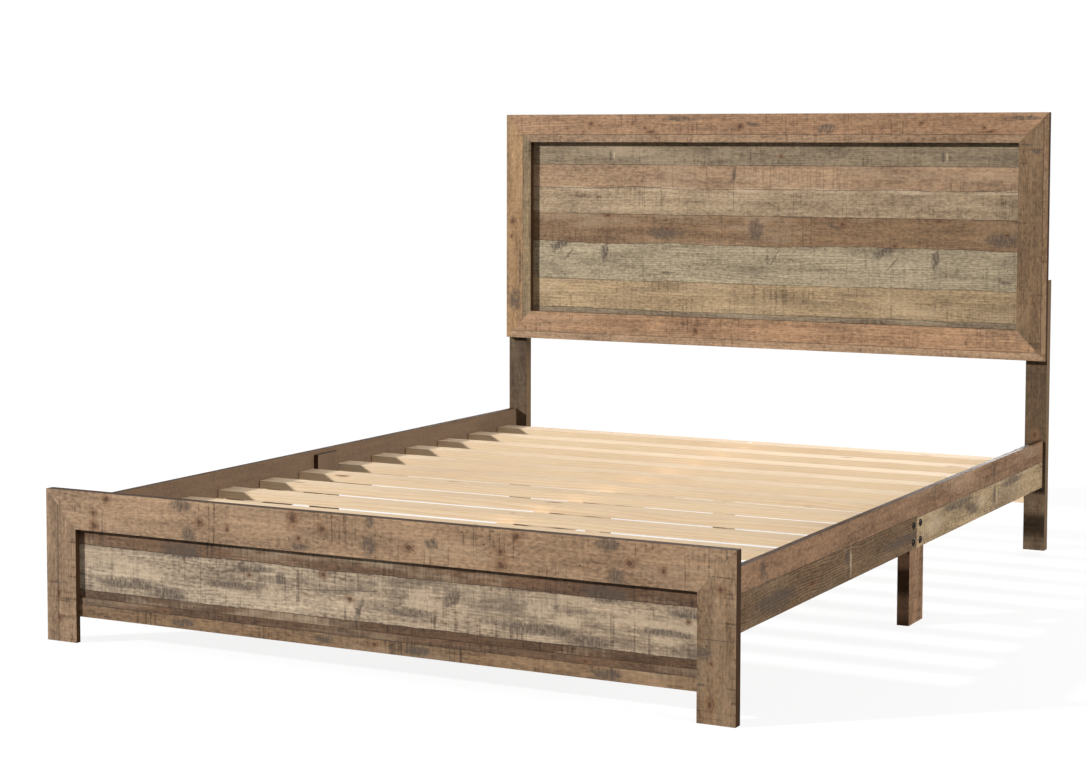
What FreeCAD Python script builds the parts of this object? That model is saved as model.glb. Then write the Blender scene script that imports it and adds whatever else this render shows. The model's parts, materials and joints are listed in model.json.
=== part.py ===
import FreeCAD, Part
"""Queen-size wooden platform bed frame: a framed plank headboard on two legs, a low framed
footboard, split side rails over bolted centre legs, and a slatted deck on a centre beam.

Frame: X across the bed, Y from the foot end to the head end, Z up.  The origin is at the middle
of the frame's footprint, on the floor.  Every length is in millimetres.
"""
import os
import Sketcher
from FreeCAD import Placement, Rotation, Vector

# Driving dimensions, one spreadsheet cell each.
DIMENSIONS = {
    # whole bed
    "overall_width": 1620,
    "rail_length": 2087,
    "headboard_height": 1165,
    "footboard_height": 332,
    "deck_height": 250,
    "joint_gap": 0.3,
    # headboard
    "headboard_bottom": 508,
    "head_frame_width": 80,
    "head_frame_thickness": 18,
    "head_panel_thickness": 15,
    "head_panel_margin": 6,
    "head_leg_width": 57,
    "head_leg_depth": 29,
    "head_leg_height": 722,
    "stretcher_bottom": 125,
    "stretcher_width": 110,
    "stretcher_thickness": 20,
    # footboard
    "foot_leg_width": 79,
    "foot_top_width": 84,
    "foot_board_thickness": 13,
    "foot_backing_thickness": 9,
    "foot_post_width": 62,
    "foot_rail_bottom": 57,
    "foot_rail_width": 42,
    "foot_rail_setback": 9,
    # side rails and the centre legs under their joint
    "rail_inset": 8,
    "rail_thickness": 15,
    "rail_bottom": 170,
    "rail_width": 125,
    "centre_leg_width": 97,
    "centre_leg_thickness": 13,
    "centre_leg_height": 285,
    "centre_bolt_low": 186,
    "centre_bolt_rise": 39,
    "centre_bolt_offset": 23.5,
    # deck
    "cleat_width": 25,
    "cleat_depth": 30,
    "cleat_end_gap": 45,
    "slat_width": 64,
    "slat_thickness": 18,
    "slat_end_gap": 2,
    "slat_first_inset": 87,
    "slat_leg_gap": 6.5,
    "beam_width": 40,
    "beam_depth": 60,
    "post_width": 40,
    "post_length": 60,
    "post_end_distance": 270,
    "post_bottom": 30,
    # levelling feet
    "pad_radius": 16,
    "pad_height": 9,
    "pad_socket_floor": 4,
    "stem_radius": 4,
    "stem_top": 60,
    "stem_clearance": 0.05,
    "collar_across_flats": 13,
    "collar_bottom": 12,
    "collar_height": 5,
    "insert_radius": 6,
    "insert_length": 20,
    "foot_raise": 10,
    # steel brackets and fasteners
    "bracket_flange": 40,
    "bracket_height": 60,
    "bracket_thickness": 2.5,
    "bracket_bottom": 180,
    "bracket_bolt_inset": 25,
    "bracket_bolt_edge": 15,
    "bolt_radius": 3,
    "bolt_head_radius": 6,
    "bolt_head_height": 3,
    "bracket_bolt_length": 13.5,
    "centre_head_radius": 8.5,
    "centre_head_height": 3,
    "nut_sleeve_radius": 4,
    "nut_sleeve_length": 12,
    "nut_flange_height": 2,
    "leg_bolt_bite": 12,
    "screw_radius": 1.9,
    "screw_head_radius": 4.5,
    "screw_head_height": 1.5,
    "deck_screw_length": 35,
    "panel_screw_length": 24,
    "foot_screw_length": 18,
    "hole_clearance": 0.1,
    "hole_end_gap": 0.5,
    "dowel_radius": 4,
    "dowel_length": 40,
}

# Places and sizes that follow from the driving dimensions.
DERIVED = {
    "half_width": "Dims.overall_width / 2",
    "foot_depth": "Dims.foot_board_thickness + Dims.foot_backing_thickness",
    "overall_length": "foot_depth + Dims.rail_length + Dims.head_leg_depth + Dims.bolt_head_height",
    "foot_front": "-overall_length / 2",
    "foot_face": "foot_front + Dims.foot_board_thickness",
    "foot_back": "foot_front + foot_depth",
    "head_plane": "foot_back + Dims.rail_length",
    "head_back": "head_plane + Dims.head_leg_depth",
    "seam": "foot_back + Dims.rail_length / 2",
    "rail_outer": "half_width - Dims.rail_inset",
    "rail_inner": "rail_outer - Dims.rail_thickness",
    "rail_top": "Dims.rail_bottom + Dims.rail_width",
    "centre_half": "Dims.centre_leg_width / 2",
    "foot_leg_inner": "half_width - Dims.foot_leg_width",
    "foot_post_inner": "half_width - Dims.foot_post_width",
    "foot_rail_top": "Dims.foot_rail_bottom + Dims.foot_rail_width",
    "foot_top_under": "Dims.footboard_height - Dims.foot_top_width",
    "head_leg_inner": "half_width - Dims.head_leg_width",
    "head_stile_inner": "half_width - Dims.head_frame_width",
    "head_top_under": "Dims.headboard_height - Dims.head_frame_width",
    "head_rail_top": "Dims.headboard_bottom + Dims.head_frame_width",
    "head_panel_half": "head_leg_inner - Dims.joint_gap",
    "head_panel_back": "head_plane + Dims.head_panel_thickness",
    "slat_under": "Dims.deck_height - Dims.slat_thickness",
    "slat_run": "Dims.rail_length / 2 - Dims.slat_first_inset - centre_half - Dims.slat_leg_gap"
                " - Dims.slat_width / 2",
    "cleat_inner": "rail_inner - Dims.cleat_width",
    "beam_under": "slat_under - Dims.beam_depth",
    "centre_inner": "rail_inner - Dims.centre_leg_thickness",
    "centre_bolt_high": "Dims.centre_bolt_low + Dims.centre_bolt_rise",
    "bolt_hole": "Dims.bolt_radius + Dims.hole_clearance",
    "sleeve_hole": "Dims.nut_sleeve_radius + Dims.hole_clearance",
    "screw_hole": "Dims.screw_radius + Dims.hole_clearance",
    "dowel_hole": "Dims.dowel_radius + Dims.hole_clearance",
    "stem_hole": "Dims.stem_radius + Dims.stem_clearance",
    "nut_bore": "Dims.bolt_radius + Dims.stem_clearance",
}

SIDES = (("left", -1), ("right", 1))
SLATS_PER_HALF = 6
ROOM = {"XY": "z", "XZ": "y", "YZ": "x"}

doc = FreeCAD.newDocument("bed_frame")
pieces = []


# ---- the spreadsheets -----------------------------------------------------------------------

def fill_sheet(name, cells):
    sheet = doc.addObject("Spreadsheet::Sheet", name)
    for row, (alias, content) in enumerate(cells.items(), 1):
        sheet.set(f"A{row}", alias)
        sheet.set(f"B{row}", content)
        sheet.setAlias(f"B{row}", alias)
    doc.recompute()
    return sheet


fill_sheet("Dims", {alias: str(number) for alias, number in DIMENSIONS.items()})
places = fill_sheet("Places", {alias: "=" + formula for alias, formula in DERIVED.items()})


def value(formula):
    """The number that a formula gives at the sheets' present sizes."""
    return float(places.evalExpression(str(formula)))


def dim(alias):
    return "Dims." + alias


def at(alias):
    return "Places." + alias


def mirrored(formula, sign):
    """A distance across the bed, measured to the right (1) or to the left (-1)."""
    return formula if sign > 0 else f"-({formula})"


# ---- sketches, boards and turned pieces -------------------------------------------------------

def place(thing, x="0", y="0", z="0"):
    for axis, formula in zip("xyz", (x, y, z)):
        thing.setExpression("Placement.Base." + axis, formula)


def origin_plane(body, plane):
    role = plane + "_Plane"
    return next(feature for feature in body.Origin.OriginFeatures if feature.Role == role)


def sketch_on(body, plane, offset="0"):
    sketch = body.newObject("Sketcher::SketchObject", body.Name + "_sketch")
    sketch.AttachmentSupport = [(origin_plane(body, plane), "")]
    sketch.MapMode = "FlatFace"
    sketch.setExpression("AttachmentOffset.Base.z", offset)
    return sketch


def bind(sketch, constraint, name, formula):
    sketch.renameConstraint(sketch.addConstraint(constraint), name)
    sketch.setExpression("Constraints." + name, formula)


def fix_point(sketch, line, point, name, across, along):
    """Hold one point of the sketch at two formulas from the sketch's origin."""
    for kind, formula in (("DistanceX", across), ("DistanceY", along)):
        constraint = Sketcher.Constraint(kind, -1, 1, line, point, value(formula))
        bind(sketch, constraint, f"{name}_{kind[-1]}_place", formula)


def draw_outline(sketch, corners):
    """Draw a closed outline of straight lines through corners given as formulas."""
    first = sketch.GeometryCount
    points = [Vector(value(across), value(along), 0) for across, along in corners]
    for start, end in zip(points, points[1:] + points[:1]):
        sketch.addGeometry(Part.LineSegment(start, end), False)
    for index, (across, along) in enumerate(corners):
        line = first + index
        following = first + (index + 1) % len(corners)
        sketch.addConstraint(Sketcher.Constraint("Coincident", line, 2, following, 1))
        fix_point(sketch, line, 1, f"corner{index}", across, along)


def draw_holes(sketch, centres, radius):
    for index, (across, along) in enumerate(centres):
        centre = Vector(value(across), value(along), 0)
        circle = sketch.addGeometry(Part.Circle(centre, Vector(0, 0, 1), value(radius)), False)
        fix_point(sketch, circle, 3, f"hole{index}", across, along)
        bind(sketch, Sketcher.Constraint("Radius", circle, value(radius)), f"hole{index}_bore", radius)


def rectangle(low_across, low_along, high_across, high_along):
    return [(low_across, low_along), (high_across, low_along),
            (high_across, high_along), (low_across, high_along)]


def new_body(label, **where):
    body = doc.addObject("PartDesign::Body", label)
    body.Label = label
    place(body, **where)
    return body


def add_pad(body, sketch, length):
    pad = body.newObject("PartDesign::Pad", body.Name + "_pad")
    pad.Profile = sketch
    pad.setExpression("Length", length)
    return pad


def board(label, plane, corners, thickness, face, holes=(), radius="1"):
    """A flat board: an outline in the named plane, raised by its thickness.

    XY boards rise in +Z and YZ boards in +X from `face`; XZ boards come forward, in -Y, from it.
    Holes go right through.
    """
    body = new_body(label, **{ROOM[plane]: face})
    sketch = sketch_on(body, plane)
    draw_outline(sketch, corners)
    draw_holes(sketch, holes, radius)
    add_pad(body, sketch, thickness)
    pieces.append(body)
    return body


def drill(body, plane, offset, centres, radius, depth, forwards):
    """Blind holes from a plane `offset` into the body; forwards follows the plane's normal."""
    doc.recompute()
    before = body.Shape.Volume
    sketch = sketch_on(body, plane, offset)
    draw_holes(sketch, centres, radius)
    pocket = body.newObject("PartDesign::Pocket", body.Name + "_holes")
    pocket.Profile = sketch
    pocket.Reversed = forwards
    pocket.setExpression("Length", depth)
    doc.recompute()
    if not body.Shape.Volume < before - 1:
        raise RuntimeError(f"{body.Label}: the holes cut nothing")
    return pocket


def turned(label, profile, keep=True, **where):
    """A turned piece: half its section, as radius and height formulas, spun about Z."""
    body = new_body(label, **where)
    sketch = sketch_on(body, "XZ")
    draw_outline(sketch, profile)
    turn = body.newObject("PartDesign::Revolution", body.Name + "_turn")
    turn.Profile = sketch
    turn.ReferenceAxis = (sketch, ["V_Axis"])
    turn.Angle = 360
    if keep:
        pieces.append(body)
    return body


def headed_pin(label, radius, length, head_radius, head_height):
    """A bolt or screw that points down, with the underside of its head at the origin."""
    profile = [("0", f"-({length})"), (radius, f"-({length})"), (radius, "0"),
               (head_radius, "0"), (head_radius, head_height), ("0", head_height)]
    return turned(label, profile, keep=False)


def group(label, master, spots):
    """Copies of one master piece as separate solids: (direction of its +Z, x, y, z, turn)."""
    copies = []
    for index, (up, x, y, z) in enumerate(spots):
        copy = doc.addObject("App::Link", f"{label}_{index}")
        copy.LinkedObject = master
        copy.LinkTransform = False
        copy.Placement = Placement(Vector(), up)
        place(copy, x, y, z)
        copies.append(copy)
    compound = doc.addObject("Part::Compound", label)
    compound.Label = label
    compound.Links = copies
    pieces.append(compound)
    return compound


def facing(x, y, z):
    return Rotation(Vector(0, 0, 1), Vector(x, y, z))


UP = facing(0, 0, 1)
TO_HEAD = facing(0, 1, 0)


# ---- headboard ----------------------------------------------------------------------------

def head_screw_spots():
    """Screws through the back panel into the frame: (x, z) formulas."""
    spots = []
    for level in (f"{at('head_rail_top')} - {dim('head_frame_width')} / 2",
                  f"{at('head_top_under')} + {dim('head_frame_width')} / 2"):
        spots += [(f"{at('head_panel_half')} * {step} / 5", level) for step in (-4, -2, 0, 2, 4)]
    for _, sign in SIDES:
        edge = mirrored(f"({at('head_stile_inner')} + {at('head_panel_half')}) / 2", sign)
        spots += [(edge, f"{at('head_rail_top')} + {share} * ({at('head_top_under')} - "
                         f"{at('head_rail_top')})") for share in (0.25, 0.75)]
    return spots


def head_bolt_levels():
    """Heights of the three bolts that join each leg to its stile."""
    span = f"({dim('head_leg_height')} - {dim('headboard_bottom')})"
    return [f"{dim('headboard_bottom')} + {share} * {span}" for share in (0.25, 0.55, 0.85)]


def build_headboard():
    half, stile = at("half_width"), at("head_stile_inner")
    top, top_under = dim("headboard_height"), at("head_top_under")
    low, low_top = dim("headboard_bottom"), at("head_rail_top")
    thick = dim("head_frame_thickness")
    bite = f"{dim('panel_screw_length')} - {dim('head_panel_thickness')} + {dim('hole_end_gap')}"
    screws = head_screw_spots()
    rail_screws, stile_screws = screws[:10], screws[10:]

    top_rail = board("headboard_top_rail", "XZ",
                     [(f"-{stile}", top_under), (stile, top_under), (half, top), (f"-{half}", top)],
                     thick, at("head_plane"))
    drill(top_rail, "XZ", "0", rail_screws[5:], at("screw_hole"), bite, True)
    bottom_rail = board("headboard_bottom_rail", "XZ",
                        [(f"-{half}", low), (half, low), (stile, low_top), (f"-{stile}", low_top)],
                        thick, at("head_plane"))
    drill(bottom_rail, "XZ", "0", rail_screws[:5], at("screw_hole"), bite, True)
    board("headboard_panel", "XZ",
          rectangle(f"-{at('head_panel_half')}", f"{low} + {dim('head_panel_margin')}",
                    at("head_panel_half"), f"{top} - {dim('head_panel_margin')}"),
          dim("head_panel_thickness"), at("head_panel_back"), screws, at("screw_hole"))

    bolt_bite = f"{dim('leg_bolt_bite')} + {dim('hole_end_gap')}"
    for number, (side, sign) in enumerate(SIDES):
        inner, outer = mirrored(stile, sign), mirrored(half, sign)
        piece = board(f"headboard_{side}_stile", "XZ",
                      [(outer, low), (outer, top), (inner, top_under), (inner, low_top)],
                      thick, at("head_plane"))
        bolt_x = mirrored(f"{half} - {dim('head_leg_width')} / 2", sign)
        bolts = [(bolt_x, level) for level in head_bolt_levels()]
        drill(piece, "XZ", "0", bolts, at("bolt_hole"), bolt_bite, True)
        drill(piece, "XZ", "0", stile_screws[2 * number:2 * number + 2], at("screw_hole"), bite, True)

        leg_inner = mirrored(at("head_leg_inner"), sign)
        leg = board(f"headboard_{side}_leg", "XZ",
                    rectangle(leg_inner, "0", outer, dim("head_leg_height")),
                    dim("head_leg_depth"), at("head_back"), bolts, at("bolt_hole"))
        bracket_x = mirrored(f"{at('rail_inner')} - {dim('bracket_bolt_inset')}", sign)
        bite_depth = f"{dim('bracket_bolt_length')} - {dim('bracket_thickness')} + {dim('hole_end_gap')}"
        drill(leg, "XZ", dim("head_leg_depth"), [(bracket_x, level) for level in bracket_levels()],
              at("bolt_hole"), bite_depth, False)
        drill(leg, "YZ", leg_inner, stretcher_dowel_spots(at("head_back")), at("dowel_hole"),
              dowel_depth(), sign > 0)

    stretcher = board("headboard_stretcher", "XZ",
                      rectangle(f"-{at('head_leg_inner')}", dim("stretcher_bottom"), at("head_leg_inner"),
                                f"{dim('stretcher_bottom')} + {dim('stretcher_width')}"),
                      dim("stretcher_thickness"), f"{at('head_plane')} + {dim('stretcher_thickness')}")
    back = f"{at('head_plane')} + {dim('stretcher_thickness')}"
    for _, sign in SIDES:
        drill(stretcher, "YZ", mirrored(at("head_leg_inner"), sign), stretcher_dowel_spots(back),
              at("dowel_hole"), dowel_depth(), sign < 0)


def stretcher_levels():
    return [f"{dim('stretcher_bottom')} + {dim('stretcher_width')} * {share}" for share in (0.25, 0.75)]


def stretcher_dowel_spots(back):
    """Dowel centres (y from a board's back face, z) at mid-thickness of the stretcher."""
    middle = f"{at('head_plane')} + {dim('stretcher_thickness')} / 2 - ({back})"
    return [(middle, level) for level in stretcher_levels()]


def dowel_depth():
    return f"{dim('dowel_length')} / 2 + {dim('hole_end_gap')}"


def bracket_levels():
    return [f"{dim('bracket_bottom')} + {dim('bracket_bolt_edge')}",
            f"{dim('bracket_bottom')} + {dim('bracket_height')} - {dim('bracket_bolt_edge')}"]


# ---- footboard ----------------------------------------------------------------------------

def foot_post_screws(sign):
    x = mirrored(f"{at('foot_post_inner')} + {dim('foot_post_width')} / 4", sign)
    return [(x, f"{dim('footboard_height')} * {share}") for share in (0.12, 0.36, 0.77)]


def foot_top_screws():
    level = f"{at('foot_top_under')} + {dim('foot_top_width')} / 2"
    return [(f"{at('foot_post_inner')} * {step} / 5", level) for step in (-4, -2, 0, 2, 4)]


def foot_rail_screw(sign):
    x = mirrored(f"({at('foot_leg_inner')} + {at('foot_post_inner')}) / 2", sign)
    return [(x, f"{dim('foot_rail_bottom')} + {dim('foot_rail_width')} / 2")]


def build_footboard():
    half, inner, post = at("half_width"), at("foot_leg_inner"), at("foot_post_inner")
    top, top_under = dim("footboard_height"), at("foot_top_under")
    thick, backing = dim("foot_board_thickness"), dim("foot_backing_thickness")
    bite = f"{dim('foot_screw_length')} - {backing} + {dim('hole_end_gap')}"

    top_rail = board("footboard_top_rail", "XZ",
                     [(f"-{inner}", top_under), (inner, top_under), (half, top), (f"-{half}", top)],
                     thick, at("foot_face"))
    drill(top_rail, "XZ", "0", foot_top_screws(), at("screw_hole"), bite, True)
    board("footboard_panel", "XZ", rectangle(f"-{post}", at("foot_rail_top"), post, top),
          backing, at("foot_back"), foot_top_screws(), at("screw_hole"))

    setback = f"{at('foot_front')} + {dim('foot_rail_setback')}"
    plan = [(f"-{post}", at("foot_back")), (f"-{post}", at("foot_face")), (f"-{inner}", at("foot_face")),
            (f"-{inner}", setback), (inner, setback), (inner, at("foot_face")),
            (post, at("foot_face")), (post, at("foot_back"))]
    bottom_rail = board("footboard_bottom_rail", "XY", plan, dim("foot_rail_width"), dim("foot_rail_bottom"))
    for _, sign in SIDES:
        level = f"{dim('foot_rail_width')} / 2"
        drill(bottom_rail, "XZ", f"-{at('foot_back')}", [(foot_rail_screw(sign)[0][0], level)],
              at("screw_hole"), f"{backing}", True)

    for side, sign in SIDES:
        edge, outer = mirrored(inner, sign), mirrored(half, sign)
        leg = board(f"footboard_{side}_leg", "XZ",
                    [(edge, "0"), (outer, "0"), (outer, top), (edge, top_under)],
                    thick, at("foot_face"))
        screws = foot_post_screws(sign)
        drill(leg, "XZ", "0", screws + foot_rail_screw(sign), at("screw_hole"), bite, True)
        bracket_x = mirrored(f"{at('rail_inner')} - {dim('bracket_bolt_inset')}", sign)
        bolts = [(bracket_x, level) for level in bracket_levels()]
        through = f"{dim('bracket_bolt_length')} - {dim('bracket_thickness')} - {backing}"
        drill(leg, "XZ", "0", bolts, at("bolt_hole"), f"{through} + {dim('hole_end_gap')}", True)
        rear_post = board(f"footboard_{side}_post", "XZ",
                          rectangle(mirrored(post, sign), "0", outer, top), backing, at("foot_back"),
                          screws, at("screw_hole"))
        drill(rear_post, "XZ", "0", bolts, at("bolt_hole"), backing, True)


# ---- side rails, cleats and centre legs ------------------------------------------------------

def halves():
    """The two rail halves: name, foot-end y, head-end y, outer end y, and its direction inwards."""
    return (("front", at("foot_back"), at("seam"), at("foot_back"), 1),
            ("rear", at("seam"), at("head_plane"), at("head_plane"), -1))


def centre_bolt_spots(directions=(-1, 1)):
    return [(f"{at('seam')} + {direction} * {dim('centre_bolt_offset')}", level)
            for direction in directions for level in (dim("centre_bolt_low"), at("centre_bolt_high"))]


def centre_screw_spots():
    return [(at("seam"), f"{dim('rail_bottom')} * {share}") for share in (0.3, 0.75)]


def cleat_span(end, inwards):
    start = f"{end} + {inwards} * {dim('cleat_end_gap')}"
    finish = f"{at('seam')} - {inwards} * ({at('centre_half')} + {dim('joint_gap')})"
    return (start, finish) if inwards > 0 else (finish, start)


def cleat_screw_spots(end, inwards):
    """Screws from the cleat into its rail half: (y, z) formulas."""
    low, high = cleat_span(end, inwards)
    level = f"{at('slat_under')} - {dim('cleat_depth')} / 2"
    return [(f"{low} + ({high} - ({low})) * {share}", level) for share in (0.06, 0.37, 0.63, 0.94)]


def build_rails():
    bolt_bite = f"{dim('bracket_bolt_length')} - {dim('bracket_thickness')} + {dim('hole_end_gap')}"
    screw_bite = f"{dim('deck_screw_length')} - {dim('cleat_width')} + {dim('hole_end_gap')}"
    for side, sign in SIDES:
        low_face = at("rail_inner") if sign > 0 else f"-{at('rail_outer')}"
        from_inside = "0" if sign > 0 else dim("rail_thickness")
        for half, start, finish, end, inwards in halves():
            rail = board(f"side_rail_{side}_{half}", "YZ",
                         rectangle(start, dim("rail_bottom"), finish, at("rail_top")),
                         dim("rail_thickness"), low_face,
                         centre_bolt_spots((-inwards,)), at("sleeve_hole"))
            bracket_y = f"{end} + {inwards} * {dim('bracket_bolt_inset')}"
            drill(rail, "YZ", from_inside, [(bracket_y, level) for level in bracket_levels()],
                  at("bolt_hole"), bolt_bite, sign > 0)
            drill(rail, "YZ", from_inside, cleat_screw_spots(end, inwards),
                  at("screw_hole"), screw_bite, sign > 0)
            build_cleat(side, sign, half, end, inwards)


def build_cleat(side, sign, half, end, inwards):
    low, high = cleat_span(end, inwards)
    low_face = at("cleat_inner") if sign > 0 else f"-{at('rail_inner')}"
    cleat = board(f"slat_cleat_{side}_{half}", "YZ",
                  rectangle(low, f"{at('slat_under')} - {dim('cleat_depth')}", high, at("slat_under")),
                  dim("cleat_width"), low_face, cleat_screw_spots(end, inwards), at("screw_hole"))
    drill(cleat, "XY", at("slat_under"),
          [(f"{dim('cleat_width')} / 2", middle) for middle in slat_centres(end, inwards)],
          at("screw_hole"), slat_screw_bite(), False)


def build_centre_legs():
    bite = f"{dim('panel_screw_length')} - {dim('centre_leg_thickness')} + {dim('hole_end_gap')}"
    front, rear = (f"{at('seam')} {sign} {at('centre_half')}" for sign in "-+")
    for side, sign in SIDES:
        low_face = at("centre_inner") if sign > 0 else f"-{at('rail_inner')}"
        inner = board(f"centre_leg_{side}_inner", "YZ",
                      rectangle(front, "0", rear, dim("centre_leg_height")),
                      dim("centre_leg_thickness"), low_face, centre_bolt_spots(), at("sleeve_hole"))
        drill(inner, "YZ", "0", centre_screw_spots(), at("screw_hole"),
              dim("centre_leg_thickness"), True)
        low_face = at("rail_inner") if sign > 0 else f"-{at('rail_outer')}"
        outer = board(f"centre_leg_{side}_outer", "YZ",
                      rectangle(front, "0", rear, dim("rail_bottom")), dim("rail_thickness"), low_face)
        drill(outer, "YZ", "0" if sign > 0 else dim("rail_thickness"), centre_screw_spots(),
              at("screw_hole"), bite, sign > 0)


# ---- deck ---------------------------------------------------------------------------------

def slat_centres(end, inwards):
    """Slat centres of one half: evenly spaced from the bed's end to just short of the centre leg."""
    pitch = f"{at('slat_run')} / {SLATS_PER_HALF - 1}"
    return [f"{end} + {inwards} * ({dim('slat_first_inset')} + {step} * {pitch})"
            for step in range(SLATS_PER_HALF)]


def slat_screw_bite():
    return (f"{dim('deck_screw_length')} + {dim('screw_head_height')} - {dim('slat_thickness')}"
            f" + {dim('hole_end_gap')}")


def slat_screw_columns():
    edge = f"{at('rail_inner')} - {dim('cleat_width')} / 2"
    return [f"-({edge})", "0", edge]


def slat_places():
    """Centres of all the slats, from the foot end to the head end."""
    (_, _, _, front, forwards), (_, _, _, rear, backwards) = halves()
    return slat_centres(front, forwards) + slat_centres(rear, backwards)[::-1]


def build_slats():
    end = f"{at('rail_inner')} - {dim('slat_end_gap')}"
    head_hole = f"{dim('screw_head_radius')} + {dim('hole_clearance')}"
    for number, middle in enumerate(slat_places(), 1):
        screws = [(column, middle) for column in slat_screw_columns()]
        slat = board(f"slat_{number:02d}", "XY",
                     rectangle(f"-({end})", f"{middle} - {dim('slat_width')} / 2",
                               end, f"{middle} + {dim('slat_width')} / 2"),
                     dim("slat_thickness"), at("slat_under"), screws, at("screw_hole"))
        drill(slat, "XY", dim("slat_thickness"), screws, head_hole, dim("screw_head_height"), False)


def post_places():
    return (("front", f"{at('foot_back')} + {dim('post_end_distance')}"),
            ("centre", at("seam")),
            ("rear", f"{at('head_plane')} - {dim('post_end_distance')}"))


def post_dowel_spots(middle):
    return [("0", f"{middle} {sign} {dim('post_length')} / 4") for sign in "-+"]


def build_beams():
    half_beam = f"{dim('beam_width')} / 2"
    spots = [spot for _, middle in post_places() for spot in post_dowel_spots(middle)]
    for half, start, finish, end, inwards in halves():
        low, high = ((f"{start} + {dim('joint_gap')}", finish) if inwards > 0
                     else (start, f"{finish} - {dim('joint_gap')}"))
        beam = board(f"centre_beam_{half}", "XY", rectangle(f"-{half_beam}", low, half_beam, high),
                     dim("beam_depth"), at("beam_under"))
        drill(beam, "XY", dim("beam_depth"), [("0", middle) for middle in slat_centres(end, inwards)],
              at("screw_hole"), slat_screw_bite(), False)
        drill(beam, "XY", "0", spots[:3] if half == "front" else spots[3:], at("dowel_hole"),
              dowel_depth(), True)


def build_posts():
    across, along = f"{dim('post_width')} / 2", f"{dim('post_length')} / 2"
    height = f"{at('beam_under')} - {dim('post_bottom')}"
    insert_hole = f"{dim('insert_radius')} + {dim('stem_clearance')}"
    stem_room = (f"{dim('stem_top')} + {dim('foot_raise')} - {dim('post_bottom')} "
                 f"+ 4 * {dim('hole_end_gap')}")
    for name, middle in post_places():
        post = board(f"support_post_{name}", "XY",
                     rectangle(f"-{across}", f"{middle} - {along}", across, f"{middle} + {along}"),
                     height, dim("post_bottom"))
        drill(post, "XY", height, post_dowel_spots(middle), at("dowel_hole"), dowel_depth(), False)
        drill(post, "XY", "0", [("0", middle)], f"{dim('stem_radius')} + {dim('hole_end_gap')}",
              stem_room, True)
        drill(post, "XY", "0", [("0", middle)], insert_hole, dim("insert_length"), True)


def build_levelling_feet():
    socket, stem = at("stem_hole"), dim("stem_radius")
    floor, pad_top = dim("pad_socket_floor"), dim("pad_height")
    rim = f"{pad_top} * 0.6"
    for name, middle in post_places():
        turned(f"levelling_pad_{name}",
               [("0", "0"), (dim("pad_radius"), "0"), (dim("pad_radius"), rim),
                (f"{dim('pad_radius')} / 2", pad_top), (socket, pad_top), (socket, floor), ("0", floor)],
               y=middle)
        screw = new_body(f"levelling_stem_{name}", y=middle)
        for bottom, top, corners in ((f"{floor} + {dim('joint_gap')}", dim("stem_top"), None),
                                     (dim("collar_bottom"), None, hexagon(dim("collar_across_flats")))):
            sketch = sketch_on(screw, "XY", bottom)
            if corners:
                draw_outline(sketch, corners)
                add_pad(screw, sketch, dim("collar_height"))
            else:
                draw_holes(sketch, [("0", "0")], stem)
                add_pad(screw, sketch, f"{top} - ({bottom})")
        pieces.append(screw)


def hexagon(across_flats):
    """Corner formulas of a regular hexagon with two flats facing along Y."""
    return [(f"{across_flats} / sqrt(3) * cos({60 * turn} deg)",
             f"{across_flats} / sqrt(3) * sin({60 * turn} deg)") for turn in range(6)]


# ---- steel and fasteners ---------------------------------------------------------------------

def build_brackets():
    flange, thick, height = dim("bracket_flange"), dim("bracket_thickness"), dim("bracket_height")
    angle = new_body("corner_bracket_master")
    sketch = sketch_on(angle, "XY")
    draw_outline(sketch, [("0", "0"), (flange, "0"), (flange, thick), (thick, thick),
                          (thick, flange), ("0", flange)])
    add_pad(angle, sketch, height)
    inset = dim("bracket_bolt_inset")
    levels = [dim("bracket_bolt_edge"), f"{height} - {dim('bracket_bolt_edge')}"]
    drill(angle, "XZ", "0", [(inset, level) for level in levels], at("bolt_hole"), thick, False)
    drill(angle, "YZ", "0", [(inset, level) for level in levels], at("bolt_hole"), thick, True)

    corners = ((0, -1, "foot_back"), (90, 1, "foot_back"), (180, 1, "head_plane"), (270, -1, "head_plane"))
    group("corner_brackets", angle,
          [(Rotation(Vector(0, 0, 1), turn), mirrored(at("rail_inner"), sign), at(end),
            dim("bracket_bottom")) for turn, sign, end in corners])

    bolt = headed_pin("bracket_bolt_master", dim("bolt_radius"), dim("bracket_bolt_length"),
                      dim("bolt_head_radius"), dim("bolt_head_height"))
    spots = []
    for level in bracket_levels():
        for _, sign in SIDES:
            for end, inwards in ((at("foot_back"), 1), (at("head_plane"), -1)):
                end_x = mirrored(f"{at('rail_inner')} - {inset}", sign)
                spots.append((facing(0, inwards, 0), end_x, f"{end} + {inwards} * {thick}", level))
                rail_x = mirrored(f"{at('rail_inner')} - {thick}", sign)
                spots.append((facing(-sign, 0, 0), rail_x, f"{end} + {inwards} * {inset}", level))
    group("bracket_bolts", bolt, spots)


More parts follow.
